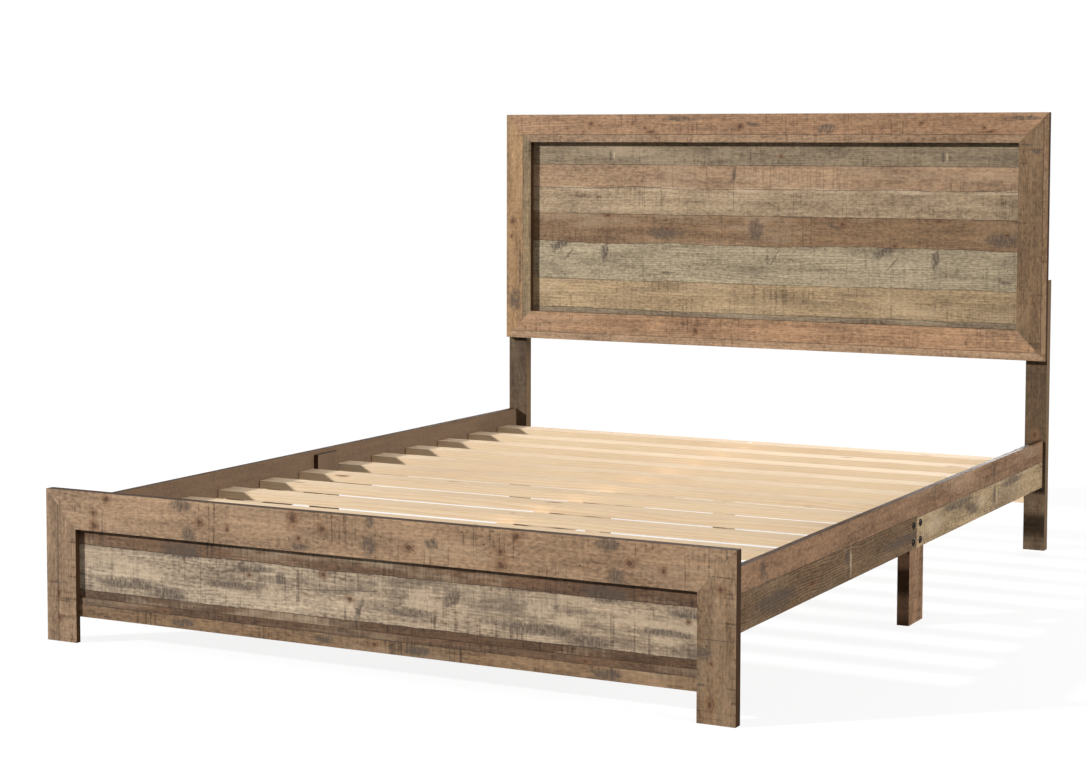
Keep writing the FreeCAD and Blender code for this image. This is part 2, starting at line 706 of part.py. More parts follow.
def build_centre_leg_bolts():
    grip = f"{dim('rail_thickness')} + {dim('centre_leg_thickness')}"
    bolt = headed_pin("centre_leg_bolt_master", dim("bolt_radius"), grip,
                      dim("centre_head_radius"), dim("centre_head_height"))
    bore, sleeve = at("nut_bore"), dim("nut_sleeve_radius")
    nut = turned("centre_leg_nut_master",
                 [(bore, f"-{dim('nut_sleeve_length')}"), (sleeve, f"-{dim('nut_sleeve_length')}"),
                  (sleeve, "0"), (dim("centre_head_radius"), "0"),
                  (dim("centre_head_radius"), dim("nut_flange_height")), (bore, dim("nut_flange_height"))],
                 keep=False)
    outside, inside = [], []
    for _, sign in SIDES:
        for y, z in centre_bolt_spots():
            outside.append((facing(sign, 0, 0), mirrored(at("rail_outer"), sign), y, z))
            inside.append((facing(-sign, 0, 0), mirrored(at("centre_inner"), sign), y, z))
    group("centre_leg_bolts", bolt, outside)
    group("centre_leg_nuts", nut, inside)


def build_head_leg_bolts():
    bolt = headed_pin("headboard_leg_bolt_master", dim("bolt_radius"),
                      f"{dim('head_leg_depth')} + {dim('leg_bolt_bite')}",
                      dim("bolt_head_radius"), dim("bolt_head_height"))
    spots = []
    for _, sign in SIDES:
        x = mirrored(f"{at('half_width')} - {dim('head_leg_width')} / 2", sign)
        spots += [(TO_HEAD, x, at("head_back"), level) for level in head_bolt_levels()]
    group("headboard_leg_bolts", bolt, spots)


def wood_screw(name, length):
    return headed_pin(name + "_master", dim("screw_radius"), length,
                      dim("screw_head_radius"), dim("screw_head_height"))


def build_screws():
    under_head = f"{dim('deck_height')} - {dim('screw_head_height')}"
    deck = [(UP, column, middle, under_head)
            for middle in slat_places() for column in slat_screw_columns()]
    for _, sign in SIDES:
        for _, _, _, end, inwards in halves():
            deck += [(facing(-sign, 0, 0), mirrored(at("cleat_inner"), sign), y, z)
                     for y, z in cleat_screw_spots(end, inwards)]
    group("deck_screws", wood_screw("deck_screw", dim("deck_screw_length")), deck)

    panel = [(TO_HEAD, x, at("head_panel_back"), z) for x, z in head_screw_spots()]
    for _, sign in SIDES:
        panel += [(facing(-sign, 0, 0), mirrored(at("centre_inner"), sign), y, z)
                  for y, z in centre_screw_spots()]
    group("panel_screws", wood_screw("panel_screw", dim("panel_screw_length")), panel)

    spots = foot_top_screws()
    for _, sign in SIDES:
        spots += foot_post_screws(sign) + foot_rail_screw(sign)
    group("footboard_screws", wood_screw("footboard_screw", dim("foot_screw_length")),
          [(TO_HEAD, x, at("foot_back"), z) for x, z in spots])


def build_dowels_and_inserts():
    length, radius = dim("dowel_length"), dim("dowel_radius")
    dowel = turned("dowel_master", [("0", f"-{length} / 2"), (radius, f"-{length} / 2"),
                                    (radius, f"{length} / 2"), ("0", f"{length} / 2")], keep=False)
    spots = [(UP, x, y, at("beam_under")) for _, middle in post_places()
             for x, y in post_dowel_spots(middle)]
    for _, sign in SIDES:
        spots += [(facing(1, 0, 0), mirrored(at("head_leg_inner"), sign),
                   f"{at('head_plane')} + {dim('stretcher_thickness')} / 2", level)
                  for level in stretcher_levels()]
    group("dowels", dowel, spots)

    tall, bore = dim("insert_length"), at("stem_hole")
    insert = turned("threaded_insert_master", [(bore, "0"), (dim("insert_radius"), "0"),
                                               (dim("insert_radius"), tall), (bore, tall)], keep=False)
    group("threaded_inserts", insert, [(UP, "0", middle, dim("post_bottom"))
                                       for _, middle in post_places()])


# ---- checks and export -----------------------------------------------------------------------

def check_document():
    doc.recompute()
    for thing in doc.Objects:
        if {"Invalid", "Error"} & set(thing.State):
            raise RuntimeError(f"{thing.Label} failed: {thing.State}")
    for piece in pieces:
        if piece.Shape.isNull() or not piece.Shape.isValid():
            raise RuntimeError(f"{piece.Label}: its shape is not valid")


def export_pieces():
    os.makedirs("parts", exist_ok=True)
    for piece in pieces:
        piece.Shape.exportStep(f"parts/{piece.Label}.step")
        box = piece.Shape.BoundBox
        print(f"{piece.Label:28s} {len(piece.Shape.Solids):3d} solids  "
              f"{box.XLength:7.1f} x {box.YLength:7.1f} x {box.ZLength:7.1f}  from z {box.ZMin:6.1f}")


build_headboard()
build_footboard()
build_rails()
build_centre_legs()
build_slats()
build_beams()
build_posts()
build_levelling_feet()
build_brackets()
build_centre_leg_bolts()
build_head_leg_bolts()
build_screws()
build_dowels_and_inserts()
check_document()
export_pieces()
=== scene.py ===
"""Reclaimed-plank bed frame: the looks of its boards, slats, fasteners and levelling feet."""

import json
import math
import random

import bmesh
import bpy
from bpy.props import FloatProperty, FloatVectorProperty, IntProperty, PointerProperty
from mathutils import Matrix, Vector

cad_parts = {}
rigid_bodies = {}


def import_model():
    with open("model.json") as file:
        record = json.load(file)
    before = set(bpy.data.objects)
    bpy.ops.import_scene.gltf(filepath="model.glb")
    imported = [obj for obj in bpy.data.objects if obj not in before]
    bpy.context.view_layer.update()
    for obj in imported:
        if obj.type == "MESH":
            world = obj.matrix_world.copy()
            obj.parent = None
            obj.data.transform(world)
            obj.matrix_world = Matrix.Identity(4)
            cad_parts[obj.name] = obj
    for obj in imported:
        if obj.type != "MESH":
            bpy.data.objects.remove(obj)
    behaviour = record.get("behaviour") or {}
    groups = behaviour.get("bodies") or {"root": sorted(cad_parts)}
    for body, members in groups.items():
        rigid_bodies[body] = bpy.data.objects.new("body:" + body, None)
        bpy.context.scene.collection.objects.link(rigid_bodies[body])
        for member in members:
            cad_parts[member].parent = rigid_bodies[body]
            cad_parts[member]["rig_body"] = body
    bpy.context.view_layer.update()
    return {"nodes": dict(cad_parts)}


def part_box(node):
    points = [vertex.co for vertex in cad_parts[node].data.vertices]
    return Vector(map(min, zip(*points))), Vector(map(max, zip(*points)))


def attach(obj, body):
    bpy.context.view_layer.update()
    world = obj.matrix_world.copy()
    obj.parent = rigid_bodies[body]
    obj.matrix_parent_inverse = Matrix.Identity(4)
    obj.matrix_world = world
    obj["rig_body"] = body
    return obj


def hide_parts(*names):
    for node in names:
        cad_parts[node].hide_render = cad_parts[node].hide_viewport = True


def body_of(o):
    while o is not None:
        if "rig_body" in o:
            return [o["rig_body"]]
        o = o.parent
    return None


bl_info = {
    "name": "Plank Bed Frame",
    "version": (1, 0, 0),
    "blender": (4, 5, 0),
    "location": "View3D > Sidebar > Bed",
    "description": "Builds the boards, fasteners, feet and stage of a reclaimed-plank bed frame",
    "category": "Object",
}

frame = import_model()

AXES = "XYZ"
OUTWARDS = {"left": "-X", "right": "+X"}
SIDES = tuple(OUTWARDS)
FOOT_PLACES = ("front", "centre", "rear")
MERGE_DISTANCE = 1e-6
FLAT_ANGLE = math.radians(0.5)
SHARP_ANGLE = math.radians(35)
FACING = 0.7
TURN = 2 * math.pi
DULL_SPECULAR = 0.2
BUMP_STRENGTH = 0.6
METAL_BUMP_DEPTH = 0.00004
DARK_TINT = (0.34, 0.3, 0.27)
LIGHT_TINT = (1.6, 1.6, 1.57)
PATCH_STRENGTH = 0.6
MARK_STRENGTH = 0.9
WEATHER_STRENGTH = 0.75
KNOT_RIM_STRENGTH = 0.5
KNOT_STRENGTH = 0.85
SEAM_STRENGTH = 0.85
BOLT_HEAD_HEIGHT = 0.003
SCREW_HEAD_HEIGHT = 0.0015
SCREW_PITCH = 0.0021
BOLT_STEPS = 24
SCREW_STEPS = 16
STEPS_PER_RIB = 3
RIB_NOTCH = 0.965
FLOOR_SIDES = 96
KEY_FROM = (-1.15, -1.0, 0.67)
FILL_FROM = (1.0, -0.1, 0.35)
BACK_FROM = (-0.15, 1.0, 0.3)
VECTOR_SOCKETS = ("Vector", "Centre", "Size")


def shade(red, green, blue):
    """A screen colour, 0 to 255 a channel, as the linear colour that a shader takes."""
    return tuple(((channel / 255 + 0.055) / 1.055) ** 2.4 for channel in (red, green, blue))


def colour_property(name, description, *screen):
    return FloatVectorProperty(name=name, description=description, subtype="COLOR", size=3,
                               min=0, max=1, default=shade(*screen))


def length_property(name, description, default):
    return FloatProperty(name=name, description=description, unit="LENGTH", default=default, precision=4)


def angle_property(name, description, default):
    return FloatProperty(name=name, description=description, unit="ROTATION", default=default)


def share_property(name, description, default):
    return FloatProperty(name=name, description=description, subtype="FACTOR", min=0, max=1,
                         default=default)


class BedPlankColours(bpy.types.PropertyGroup):
    """Colours of the printed planks, their marks and their edges."""

    stone: colour_property("Stone", "Greyed board along the top of the headboard panel", 127, 112, 91)
    rose: colour_property("Rose", "Pinkish brown board", 145, 119, 94)
    sand: colour_property("Sand", "Light tan board", 148, 129, 104)
    russet: colour_property("Russet", "Reddish brown board", 120, 95, 70)
    cream: colour_property("Cream", "Palest, bleached board", 148, 136, 113)
    straw: colour_property("Straw", "Yellowish tan board", 152, 131, 101)
    frame_brown: colour_property("Frame brown", "Headboard frame boards", 146, 115, 88)
    tawny: colour_property("Tawny", "Orange tan strip of the left stile", 141, 112, 80)
    olive: colour_property("Olive", "Greenish grey strip of the left stile", 128, 110, 82)
    stile_brown: colour_property("Stile brown", "Headboard right stile", 107, 85, 62)
    umber: colour_property("Umber", "Dark brown plank", 96, 73, 54)
    rail_red: colour_property("Rail red", "Upper plank of the side rails", 127, 98, 74)
    foot_brown: colour_property("Foot brown", "Footboard top rail", 138, 113, 89)
    leg_brown: colour_property("Leg brown", "Footboard legs", 110, 87, 64)
    weathered: colour_property("Weathered", "Pale worn plank of the footboard", 155, 139, 119)
    # Edging: partly the boards' real dark edge banding, partly painted shade, its colour darkened to match
    # narrow faces that lie in shade.
    edging: colour_property("Edging", "Dark edging on the narrow faces", 58, 36, 16)
    backing: colour_property("Backing", "Plain foil on the hidden faces", 104, 84, 66)
    grime: colour_property("Grime", "Weather stains and saw marks", 74, 63, 54)
    seam: colour_property("Seam", "Line between two planks", 46, 34, 25)
    knot: colour_property("Knot", "Heart of a knot", 68, 44, 29)
    knot_rim: colour_property("Knot rim", "Reddish wood round a knot", 116, 83, 57)
    bleach: colour_property("Bleach", "Worn, pale patches", 183, 163, 136)
    beech: colour_property("Beech", "Turned dowels", 196, 162, 124)


class BedBoardSizes(bpy.types.PropertyGroup):
    """Sizes of the print on the boards and of the wood beneath."""

    print_repeat: length_property("Print repeat", "Length after which the printed planks repeat", 0.995)
    seam_width: length_property("Seam width", "Half width of the line between two planks", 0.0016)
    knot_growth: FloatProperty(name="Knot growth", description="Scales every printed knot", default=1.2)
    line_spacing: length_property("Line spacing", "Distance between the printed grain lines", 0.0062)
    bump_depth: length_property("Grain depth", "Depth of the embossed grain", 0.0006)
    ring_spacing: length_property("Ring spacing", "Distance between the yearly rings of the pine", 0.0042)


class BedHardwareSizes(bpy.types.PropertyGroup):
    """Proportions of the bolts, screws and levelling feet."""

    dome_share: share_property("Dome", "Share of a bolt head's height that is domed", 0.62)
    socket_share: share_property("Socket", "Hex socket's size as a share of the head", 0.46)
    recess_share: share_property("Recess", "Cross recess's size as a share of the head", 0.6)
    thread_pitch: length_property("Thread pitch", "Distance between two turns of a thread", 0.00125)
    thread_depth: length_property("Thread depth", "How deep a thread is cut", 0.0005)
    pad_ribs: IntProperty(name="Pad ribs", description="Grip ribs round a levelling pad", default=24)
    stem_radius: length_property("Stem radius", "Radius of a levelling foot's thread", 0.004)
    collar_low: length_property("Collar foot", "Height of the hex collar's lower face", 0.012)
    collar_high: length_property("Collar top", "Height of the hex collar's upper face", 0.017)


class BedStageSettings(bpy.types.PropertyGroup):
    """Camera, floor and lights."""

    camera_place: FloatVectorProperty(
        name="Camera place", description="Where the camera stands", subtype="TRANSLATION",
        unit="LENGTH", size=3, default=(2.43524, -4.94762, 1.07831))
    yaw: angle_property("Yaw", "Camera's turn to the left", 0.48219)
    pitch: angle_property("Pitch", "Camera's tilt downwards", 0.06799)
    roll: angle_property("Roll", "Camera's tilt to its side", 0.00187)
    lens: FloatProperty(name="Lens", description="Focal length", unit="CAMERA", default=76.09)
    shift: FloatProperty(name="Shift", description="Upright shift of the picture", default=-0.08)
    floor_radius: length_property("Floor radius", "Where the floor has faded out", 9.0)
    floor_clear: length_property("Floor fade", "Where the floor begins to fade", 3.2)
    floor_colour: colour_property("Floor colour", "Pale studio floor", 250, 250, 250)
    floor_glow: share_property("Floor glow", "Share of the floor's white that no shadow dims", 0.86)
    floor_bounce: share_property("Floor bounce", "Share of its light the floor gives back", 0.25)
    surround: FloatProperty(name="Surround", description="Strength of the even white light", default=0.22)
    key_strength: FloatProperty(name="Key", description="Strength of the light from the left", default=5.2)
    fill_strength: FloatProperty(name="Fill", description="Strength of the light from the right",
                                 default=3.15)
    back_strength: FloatProperty(name="Back", description="Strength of the light from behind", default=2.4)
    key_softness: angle_property("Key softness", "Apparent width of the key light", math.radians(3))
    soft_width: angle_property("Soft width", "Apparent width of the other two lights", math.radians(30))


def colours():
    return bpy.context.scene.bed_plank_colours


def board_sizes():
    return bpy.context.scene.bed_board_sizes


def hardware():
    return bpy.context.scene.bed_hardware_sizes


# Node trees: short ways to add a node, and the groups that the materials share.

def add(tree, kind, settings=(), inputs=()):
    """A new node with its settings and its inputs, which are values or other nodes' outputs."""
    made = tree.nodes.new(kind)
    for key, value in dict(settings).items():
        setattr(made, key, value)
    for key, value in dict(inputs).items():
        if isinstance(value, bpy.types.NodeSocket):
            tree.links.new(value, made.inputs[key])
        else:
            made.inputs[key].default_value = value
    return made


def calc(tree, operation, *values, clamp=False):
    settings = {"operation": operation, "use_clamp": clamp}
    return add(tree, "ShaderNodeMath", settings, enumerate(values)).outputs[0]


def vector_calc(tree, operation, *values):
    return add(tree, "ShaderNodeVectorMath", {"operation": operation}, enumerate(values))


def product(tree, first, second, clamp=False):
    return calc(tree, "MULTIPLY", first, second, clamp=clamp)


def scaled(tree, value, by, plus, clamp=False):
    return calc(tree, "MULTIPLY_ADD", value, by, plus, clamp=clamp)


def centred(tree, value):
    return calc(tree, "SUBTRACT", value, 0.5)


def split(tree, place):
    """The three numbers of a place."""
    return add(tree, "ShaderNodeSeparateXYZ", {}, {0: place}).outputs


def joined(tree, *numbers):
    """A place made of its numbers."""
    return add(tree, "ShaderNodeCombineXYZ", {}, enumerate(numbers)).outputs[0]


def object_place(tree):
    return add(tree, "ShaderNodeTexCoord").outputs["Object"]


def ramp_between(tree, value, low, high, smooth=True):
    """0 below low, 1 above high, and even between them; the other way round if low is the larger."""
    settings = {"interpolation_type": "SMOOTHSTEP" if smooth else "LINEAR", "clamp": True}
    inputs = {"Value": value, "From Min": low, "From Max": high, "To Min": 0.0, "To Max": 1.0}
    return add(tree, "ShaderNodeMapRange", settings, inputs).outputs[0]


def noise(tree, vector, scale, detail=3.0, roughness=0.55, distortion=0.0):
    """Noise with its own number of features to the metre along each axis."""
    stretched = vector_calc(tree, "MULTIPLY", vector, scale).outputs[0]
    inputs = {"Vector": stretched, "Scale": 1.0, "Detail": detail, "Roughness": roughness,
              "Distortion": distortion}
    return add(tree, "ShaderNodeTexNoise", {}, inputs).outputs[0]


def mix(tree, factor, first, second, blend="MIX"):
    settings = {"data_type": "RGBA", "blend_type": blend, "clamp_factor": True}
    made = add(tree, "ShaderNodeMix", settings)
    for index, value in ((0, factor), (6, first), (7, second)):
        if isinstance(value, bpy.types.NodeSocket):
            tree.links.new(value, made.inputs[index])
        else:
            made.inputs[index].default_value = value if index == 0 else (*value[:3], 1.0)
    return made.outputs[2]


def dimmed(colour, share):
    return tuple(channel * share for channel in colour[:3])


def new_group(name, inputs, outputs):
    """An empty node group, what it is given and what it puts out, from names with spaces between."""
    tree = bpy.data.node_groups.new(name, "ShaderNodeTree")
    for label in inputs.split():
        kind = "NodeSocketVector" if label in VECTOR_SOCKETS else "NodeSocketFloat"
        tree.interface.new_socket(label, in_out="INPUT", socket_type=kind)
    for label in outputs.split():
        tree.interface.new_socket(label, in_out="OUTPUT", socket_type="NodeSocketFloat")
    return tree, tree.nodes.new("NodeGroupInput").outputs, tree.nodes.new("NodeGroupOutput").inputs


def sawn_grain_group():
    """Streaks, bending grain lines and broken saw marks across the grain, on (along, across, depth)."""
    tree, given, out = new_group("Sawn Grain", "Vector Grain Figure Saw", "Tone Height")
    place = given["Vector"]
    across = split(tree, place)[1]
    blotches = noise(tree, place, (5, 14, 14), 4.0, 0.6)
    streaks = noise(tree, place, (4, 66, 66), 3.0, 0.65)
    fine = noise(tree, place, (85, 170, 170), 2.0, 0.6)
    bend = noise(tree, place, (1.7, 9, 9), 3.0, 0.5)
    phase = scaled(tree, across, TURN / board_sizes().line_spacing, product(tree, bend, 70.0))
    lines = ramp_between(tree, calc(tree, "SINE", phase), -0.2, 0.9)
    faded = product(tree, lines, ramp_between(tree, streaks, 0.3, 0.62))
    saw = ramp_between(tree, noise(tree, place, (165, 6, 6), 2.0, 0.5), 0.52, 0.7)
    patches = ramp_between(tree, noise(tree, place, (7, 17, 17), 2.0), 0.42, 0.62)
    saw_mark = product(tree, saw, scaled(tree, patches, 0.85, 0.15))
    tone = 0.53
    for part, weight in ((centred(tree, blotches), product(tree, given["Grain"], 1.5)),
                         (centred(tree, streaks), product(tree, given["Grain"], 1.6)),
                         (centred(tree, fine), product(tree, given["Grain"], 1.9)),
                         (faded, product(tree, given["Figure"], -0.5)),
                         (saw_mark, product(tree, given["Saw"], -0.6))):
        tone = scaled(tree, part, weight, tone)
    tree.links.new(tone, out["Tone"])
    cut = product(tree, saw_mark, -0.5)
    tree.links.new(calc(tree, "ADD", cut, calc(tree, "ADD", fine, streaks)), out["Height"])
    return tree


def weathering_group():
    """Grey stains broken up by saw marks, worn pale patches and small dark pits."""
    tree, given, out = new_group("Weathering", "Vector Stain Wear Pits", "Stain Wear Pits")
    place = given["Vector"]
    clouds = noise(tree, place, (4.2, 17, 17), 6.0, 0.7, 0.5)
    combed = noise(tree, place, (165, 9, 9), 3.0, 0.65)
    along = noise(tree, place, (12, 170, 170), 3.0, 0.65)
    weave = calc(tree, "ADD", product(tree, combed, 0.9), product(tree, along, 0.7))
    weave = calc(tree, "SUBTRACT", weave, 0.8)
    stain = ramp_between(tree, scaled(tree, weave, 0.3, clouds), 0.48, 0.68)
    tree.links.new(product(tree, stain, given["Stain"], clamp=True), out["Stain"])
    moved = vector_calc(tree, "ADD", place, (3.7, 9.1, 5.3)).outputs[0]
    faded = noise(tree, moved, (3.2, 12, 12), 5.0, 0.6, 0.3)
    wear = ramp_between(tree, scaled(tree, weave, -0.25, faded), 0.48, 0.68)
    tree.links.new(product(tree, wear, given["Wear"], clamp=True), out["Wear"])
    cells = vector_calc(tree, "MULTIPLY", place, (62, 74, 74)).outputs[0]
    spots = add(tree, "ShaderNodeTexVoronoi", {"feature": "F1"}, {"Vector": cells, "Scale": 1.0})
    rare = add(tree, "ShaderNodeSeparateColor", {}, {"Color": spots.outputs["Color"]}).outputs[0]
    dot = product(tree, ramp_between(tree, spots.outputs["Distance"], 0.17, 0.07),
                  calc(tree, "GREATER_THAN", rare, 0.86))
    tree.links.new(product(tree, dot, given["Pits"], clamp=True), out["Pits"])
    return tree


def ragged_reach(tree, given, wobble, size):
    """How far a place is from a mark's centre, in shares of the mark's size, with a ragged outline."""
    offset = vector_calc(tree, "SUBTRACT", given["Vector"], given["Centre"]).outputs[0]
    turned = add(tree, "ShaderNodeVectorRotate", {"rotation_type": "Z_AXIS"},
                 {"Vector": offset, "Angle": given["Turn"]}).outputs[0]
    flat = vector_calc(tree, "MULTIPLY", turned, (1, 1, 0)).outputs[0]
    share = vector_calc(tree, "DIVIDE", flat, given["Size"]).outputs[0]
    reach = vector_calc(tree, "LENGTH", share).outputs["Value"]
    ragged = noise(tree, given["Vector"], (size, size, size), 4.0, 0.65)
    return scaled(tree, centred(tree, ragged), wobble, reach)


def stain_mark_group():
    """One ragged dark mark: a smudge, a crack or a butt joint, by its size and turn."""
    tree, given, out = new_group("Stain Mark", "Vector Centre Size Turn", "Mask")
    reach = ragged_reach(tree, given, 1.6, 70)
    broken = ramp_between(tree, noise(tree, given["Vector"], (210, 70, 70), 3.0, 0.6), 0.34, 0.62)
    solid = ramp_between(tree, reach, 1.4, 0.6)
    tree.links.new(product(tree, solid, scaled(tree, broken, 0.6, 0.4)), out["Mask"])
    return tree


def knot_group():
    """One knot: a dark core, a broken outline, and reddish wood that fades into the board."""
    tree, given, out = new_group("Knot", "Vector Centre Size Turn", "Heart Rings")
    reach = ragged_reach(tree, given, 1.5, 130)
    core = ramp_between(tree, reach, 0.95, 0.3)
    outline = product(tree, ramp_between(tree, reach, 0.7, 1.0), ramp_between(tree, reach, 1.35, 1.0))
    kept = ramp_between(tree, noise(tree, given["Vector"], (120, 90, 90), 2.0), 0.46, 0.62)
    arcs = product(tree, outline, product(tree, kept, 0.75))
    tree.links.new(calc(tree, "MAXIMUM", core, arcs), out["Heart"])
    tree.links.new(ramp_between(tree, reach, 2.2, 0.8), out["Rings"])
    return tree


def plank_edge_group():
    """The border between two printed planks: which side a point is on, and the seam itself."""
    tree, given, out = new_group("Plank Edge", "Vector Level Wave Width", "Below Seam")
    along, across, _ = split(tree, given["Vector"])
    level_place = joined(tree, along, product(tree, given["Level"], 31.0))
    bend = centred(tree, noise(tree, level_place, (4.5, 1, 1), 2.0))
    chips = centred(tree, noise(tree, level_place, (75, 1, 1), 4.0, 0.7))
    ragged = scaled(tree, chips, scaled(tree, given["Wave"], 0.8, 0.003),
                    product(tree, bend, product(tree, given["Wave"], 3.0)))
    height = calc(tree, "ADD", calc(tree, "SUBTRACT", across, given["Level"]), ragged)
    tree.links.new(calc(tree, "LESS_THAN", height, 0.0), out["Below"])
    gaps = ramp_between(tree, noise(tree, level_place, (22, 1, 1), 3.0, 0.6), 0.3, 0.5)
    line = ramp_between(tree, calc(tree, "ABSOLUTE", height), given["Width"], 0.0)
    tree.links.new(product(tree, line, scaled(tree, gaps, 0.7, 0.3)), out["Seam"])
    return tree


def metal_surface_group():
    """Fine unevenness of a plated or blackened metal surface."""
    tree, given, out = new_group("Metal Surface", "Vector Contrast", "Tone Height")
    clouds = noise(tree, given["Vector"], (260, 260, 260), 4.0, 0.6)
    scuffs = noise(tree, given["Vector"], (2600, 420, 1500), 2.0, 0.6)
    both = calc(tree, "ADD", product(tree, clouds, 0.6), product(tree, scuffs, 0.4))
    tone = scaled(tree, centred(tree, both), given["Contrast"], 0.5, clamp=True)
    tree.links.new(tone, out["Tone"])
    tree.links.new(both, out["Height"])
    return tree


GROUP_MAKERS = {
    "Sawn Grain": sawn_grain_group,
    "Weathering": weathering_group,
    "Stain Mark": stain_mark_group,
    "Knot": knot_group,
    "Plank Edge": plank_edge_group,
    "Metal Surface": metal_surface_group,
}


def use_group(tree, name, **inputs):
    """A group node in this tree; the group itself is made the first time."""
    shared = bpy.data.node_groups.get(name) or GROUP_MAKERS[name]()
    return add(tree, "ShaderNodeGroup", {"node_tree": shared}, inputs).outputs


# Materials.

def new_material(name, roughness, metallic=0.0):
    """A material with one Principled shader, and its tree and shader to wire up."""
    made = bpy.data.materials.new(name)
    made.use_nodes = True
    shader = made.node_tree.nodes["Principled BSDF"]
    shader.inputs["Roughness"].default_value = roughness
    shader.inputs["Metallic"].default_value = metallic
    if not metallic:
        shader.inputs["Specular IOR Level"].default_value = DULL_SPECULAR
    return made, made.node_tree, shader


def finish_surface(tree, shader, colour, roughness, height, depth):
    """Joins colour, roughness and bump to the shader."""
    tree.links.new(colour, shader.inputs["Base Color"])
    tree.links.new(roughness, shader.inputs["Roughness"])
    bump = add(tree, "ShaderNodeBump", {}, {"Strength": BUMP_STRENGTH, "Distance": depth, "Height": height})
    tree.links.new(bump.outputs[0], shader.inputs["Normal"])


def board_place(tree, axes):
    """Object coordinates with the board's length first and its width second, such as "XZY"."""
    numbers = split(tree, object_place(tree))
    return joined(tree, *(numbers[AXES.index(axis)] for axis in axes))


def repeated_place(tree, place, start):
    """The same place, wrapped to one repeat of the print, which begins at start."""
    along, across, deep = split(tree, place)
    wrapped = calc(tree, "WRAP", along, start + board_sizes().print_repeat, start)
    return joined(tree, wrapped, across, deep)


def largest(tree, masks):
    total = masks[0]
    for mask in masks[1:]:
        total = calc(tree, "MAXIMUM", total, mask)
    return total


def spot_groups(tree, kind, place, spots, growth=1.0):
    """A group node for each spot, listed as (along, across, length, width) and a turn where it has one."""
    return [use_group(tree, kind, Vector=place, Centre=(x, z, 0), Size=(w * growth, h * growth, 1),
                      Turn=math.radians(turn[0]) if turn else 0.0) for x, z, w, h, *turn in spots]


def spot_mask(tree, groups, output):
    return largest(tree, [group[output] for group in groups])


def plank_bands(tree, place, planks):
    """Colour, age, number and seams of printed planks, listed as (colour, far border, wave, age)."""
    if not planks[1:]:
        return planks[0][0], planks[0][3], 0.0, 0.0
    number, seams = 0.0, []
    for _, level, wave, _ in planks[:-1]:
        edge = use_group(tree, "Plank Edge", Vector=place, Level=level, Wave=wave,
                         Width=board_sizes().seam_width)
        number = calc(tree, "ADD", edge["Below"], number)
        seams.append(edge["Seam"])
    stops = len(planks)
    share = calc(tree, "DIVIDE", calc(tree, "ADD", number, 0.5), float(stops))
    ramp = add(tree, "ShaderNodeValToRGB", {}, {"Fac": share})
    ramp.color_ramp.interpolation = "CONSTANT"
    for index, (colour, _, _, age) in enumerate(planks):
        elements = ramp.color_ramp.elements
        stop = elements[index] if index < 2 else elements.new(index / stops)
        stop.position = index / stops
        stop.color = (*colour[:3], age)
    return ramp.outputs["Color"], ramp.outputs["Alpha"], number, largest(tree, seams)


def plank_material(name, axes, planks, knots=(), marks=(), patches=(), drift=None, start=None, seed=0.0,
                   grain=0.6, figure=0.35, saw=0.5, stain=0.35, wear=0.3, pits=0.7):
    """Printed reclaimed planks with their knots, dark marks and pale patches.

    A plank's age is how strongly its lines and stains show; drift is (from, to, tint) along the board.
    """
    made, tree, shader = new_material(name, 0.6)
    palette = colours()
    place = board_place(tree, axes)
    base, age, number, seam = plank_bands(tree, place, planks)
    if drift:
        from_end, to_end, tint = drift
        base = mix(tree, ramp_between(tree, split(tree, place)[0], from_end, to_end), base,
                   mix(tree, 1.0, base, tint, "MULTIPLY"))
    shift = scaled(tree, number, 2.37, seed)
    own_place = vector_calc(tree, "ADD", place, joined(tree, shift, shift, shift)).outputs[0]
    sawn = use_group(tree, "Sawn Grain", Vector=own_place, Grain=grain, Saw=saw,
                     Figure=product(tree, age, figure))
    aged = use_group(tree, "Weathering", Vector=own_place, Wear=wear, Pits=pits,
                     Stain=product(tree, age, stain))
    dark = mix(tree, 1.0, base, DARK_TINT, "MULTIPLY")
    light = mix(tree, 1.0, base, LIGHT_TINT, "MULTIPLY")
    colour = mix(tree, sawn["Tone"], dark, light)
    colour = mix(tree, product(tree, aged["Wear"], WEATHER_STRENGTH), colour, palette.bleach)
    colour = mix(tree, product(tree, aged["Stain"], WEATHER_STRENGTH), colour, palette.grime)
    spot_place = place if start is None else repeated_place(tree, place, start)
    for spots, tint, strength in ((patches, palette.bleach, PATCH_STRENGTH),
                                  (marks, palette.grime, MARK_STRENGTH)):
        if spots:
            mask = spot_mask(tree, spot_groups(tree, "Stain Mark", spot_place, spots), "Mask")
            colour = mix(tree, product(tree, mask, strength), colour, tint)
    if knots:
        grown = spot_groups(tree, "Knot", spot_place, knots, board_sizes().knot_growth)
        rim = product(tree, spot_mask(tree, grown, "Rings"), KNOT_RIM_STRENGTH)
        heart = product(tree, spot_mask(tree, grown, "Heart"), KNOT_STRENGTH)
        colour = mix(tree, heart, mix(tree, rim, colour, palette.knot_rim), palette.knot)
    colour = mix(tree, product(tree, seam, SEAM_STRENGTH), colour, palette.seam)
    colour = mix(tree, aged["Pits"], colour, palette.seam)
    roughness = ramp_between(tree, sawn["Tone"], 1.1, -0.4, smooth=False)
    roughness = scaled(tree, roughness, 0.3, 0.45)
    finish_surface(tree, shader, colour, roughness, sawn["Height"], board_sizes().bump_depth)
    return made


def plain_board_material(name, base, axes="XYZ", contrast=0.5):
    """Plain foil with a short grain, on the narrow and hidden faces."""
    made, tree, shader = new_material(name, 0.6)
    place = board_place(tree, axes)
    sawn = use_group(tree, "Sawn Grain", Vector=place, Grain=contrast, Figure=0.2, Saw=0.15)
    colour = mix(tree, sawn["Tone"], dimmed(base, 0.55), dimmed(base, 1.45))
    roughness = scaled(tree, sawn["Tone"], 0.2, 0.48)
    finish_surface(tree, shader, colour, roughness, sawn["Height"], board_sizes().bump_depth)
    return made


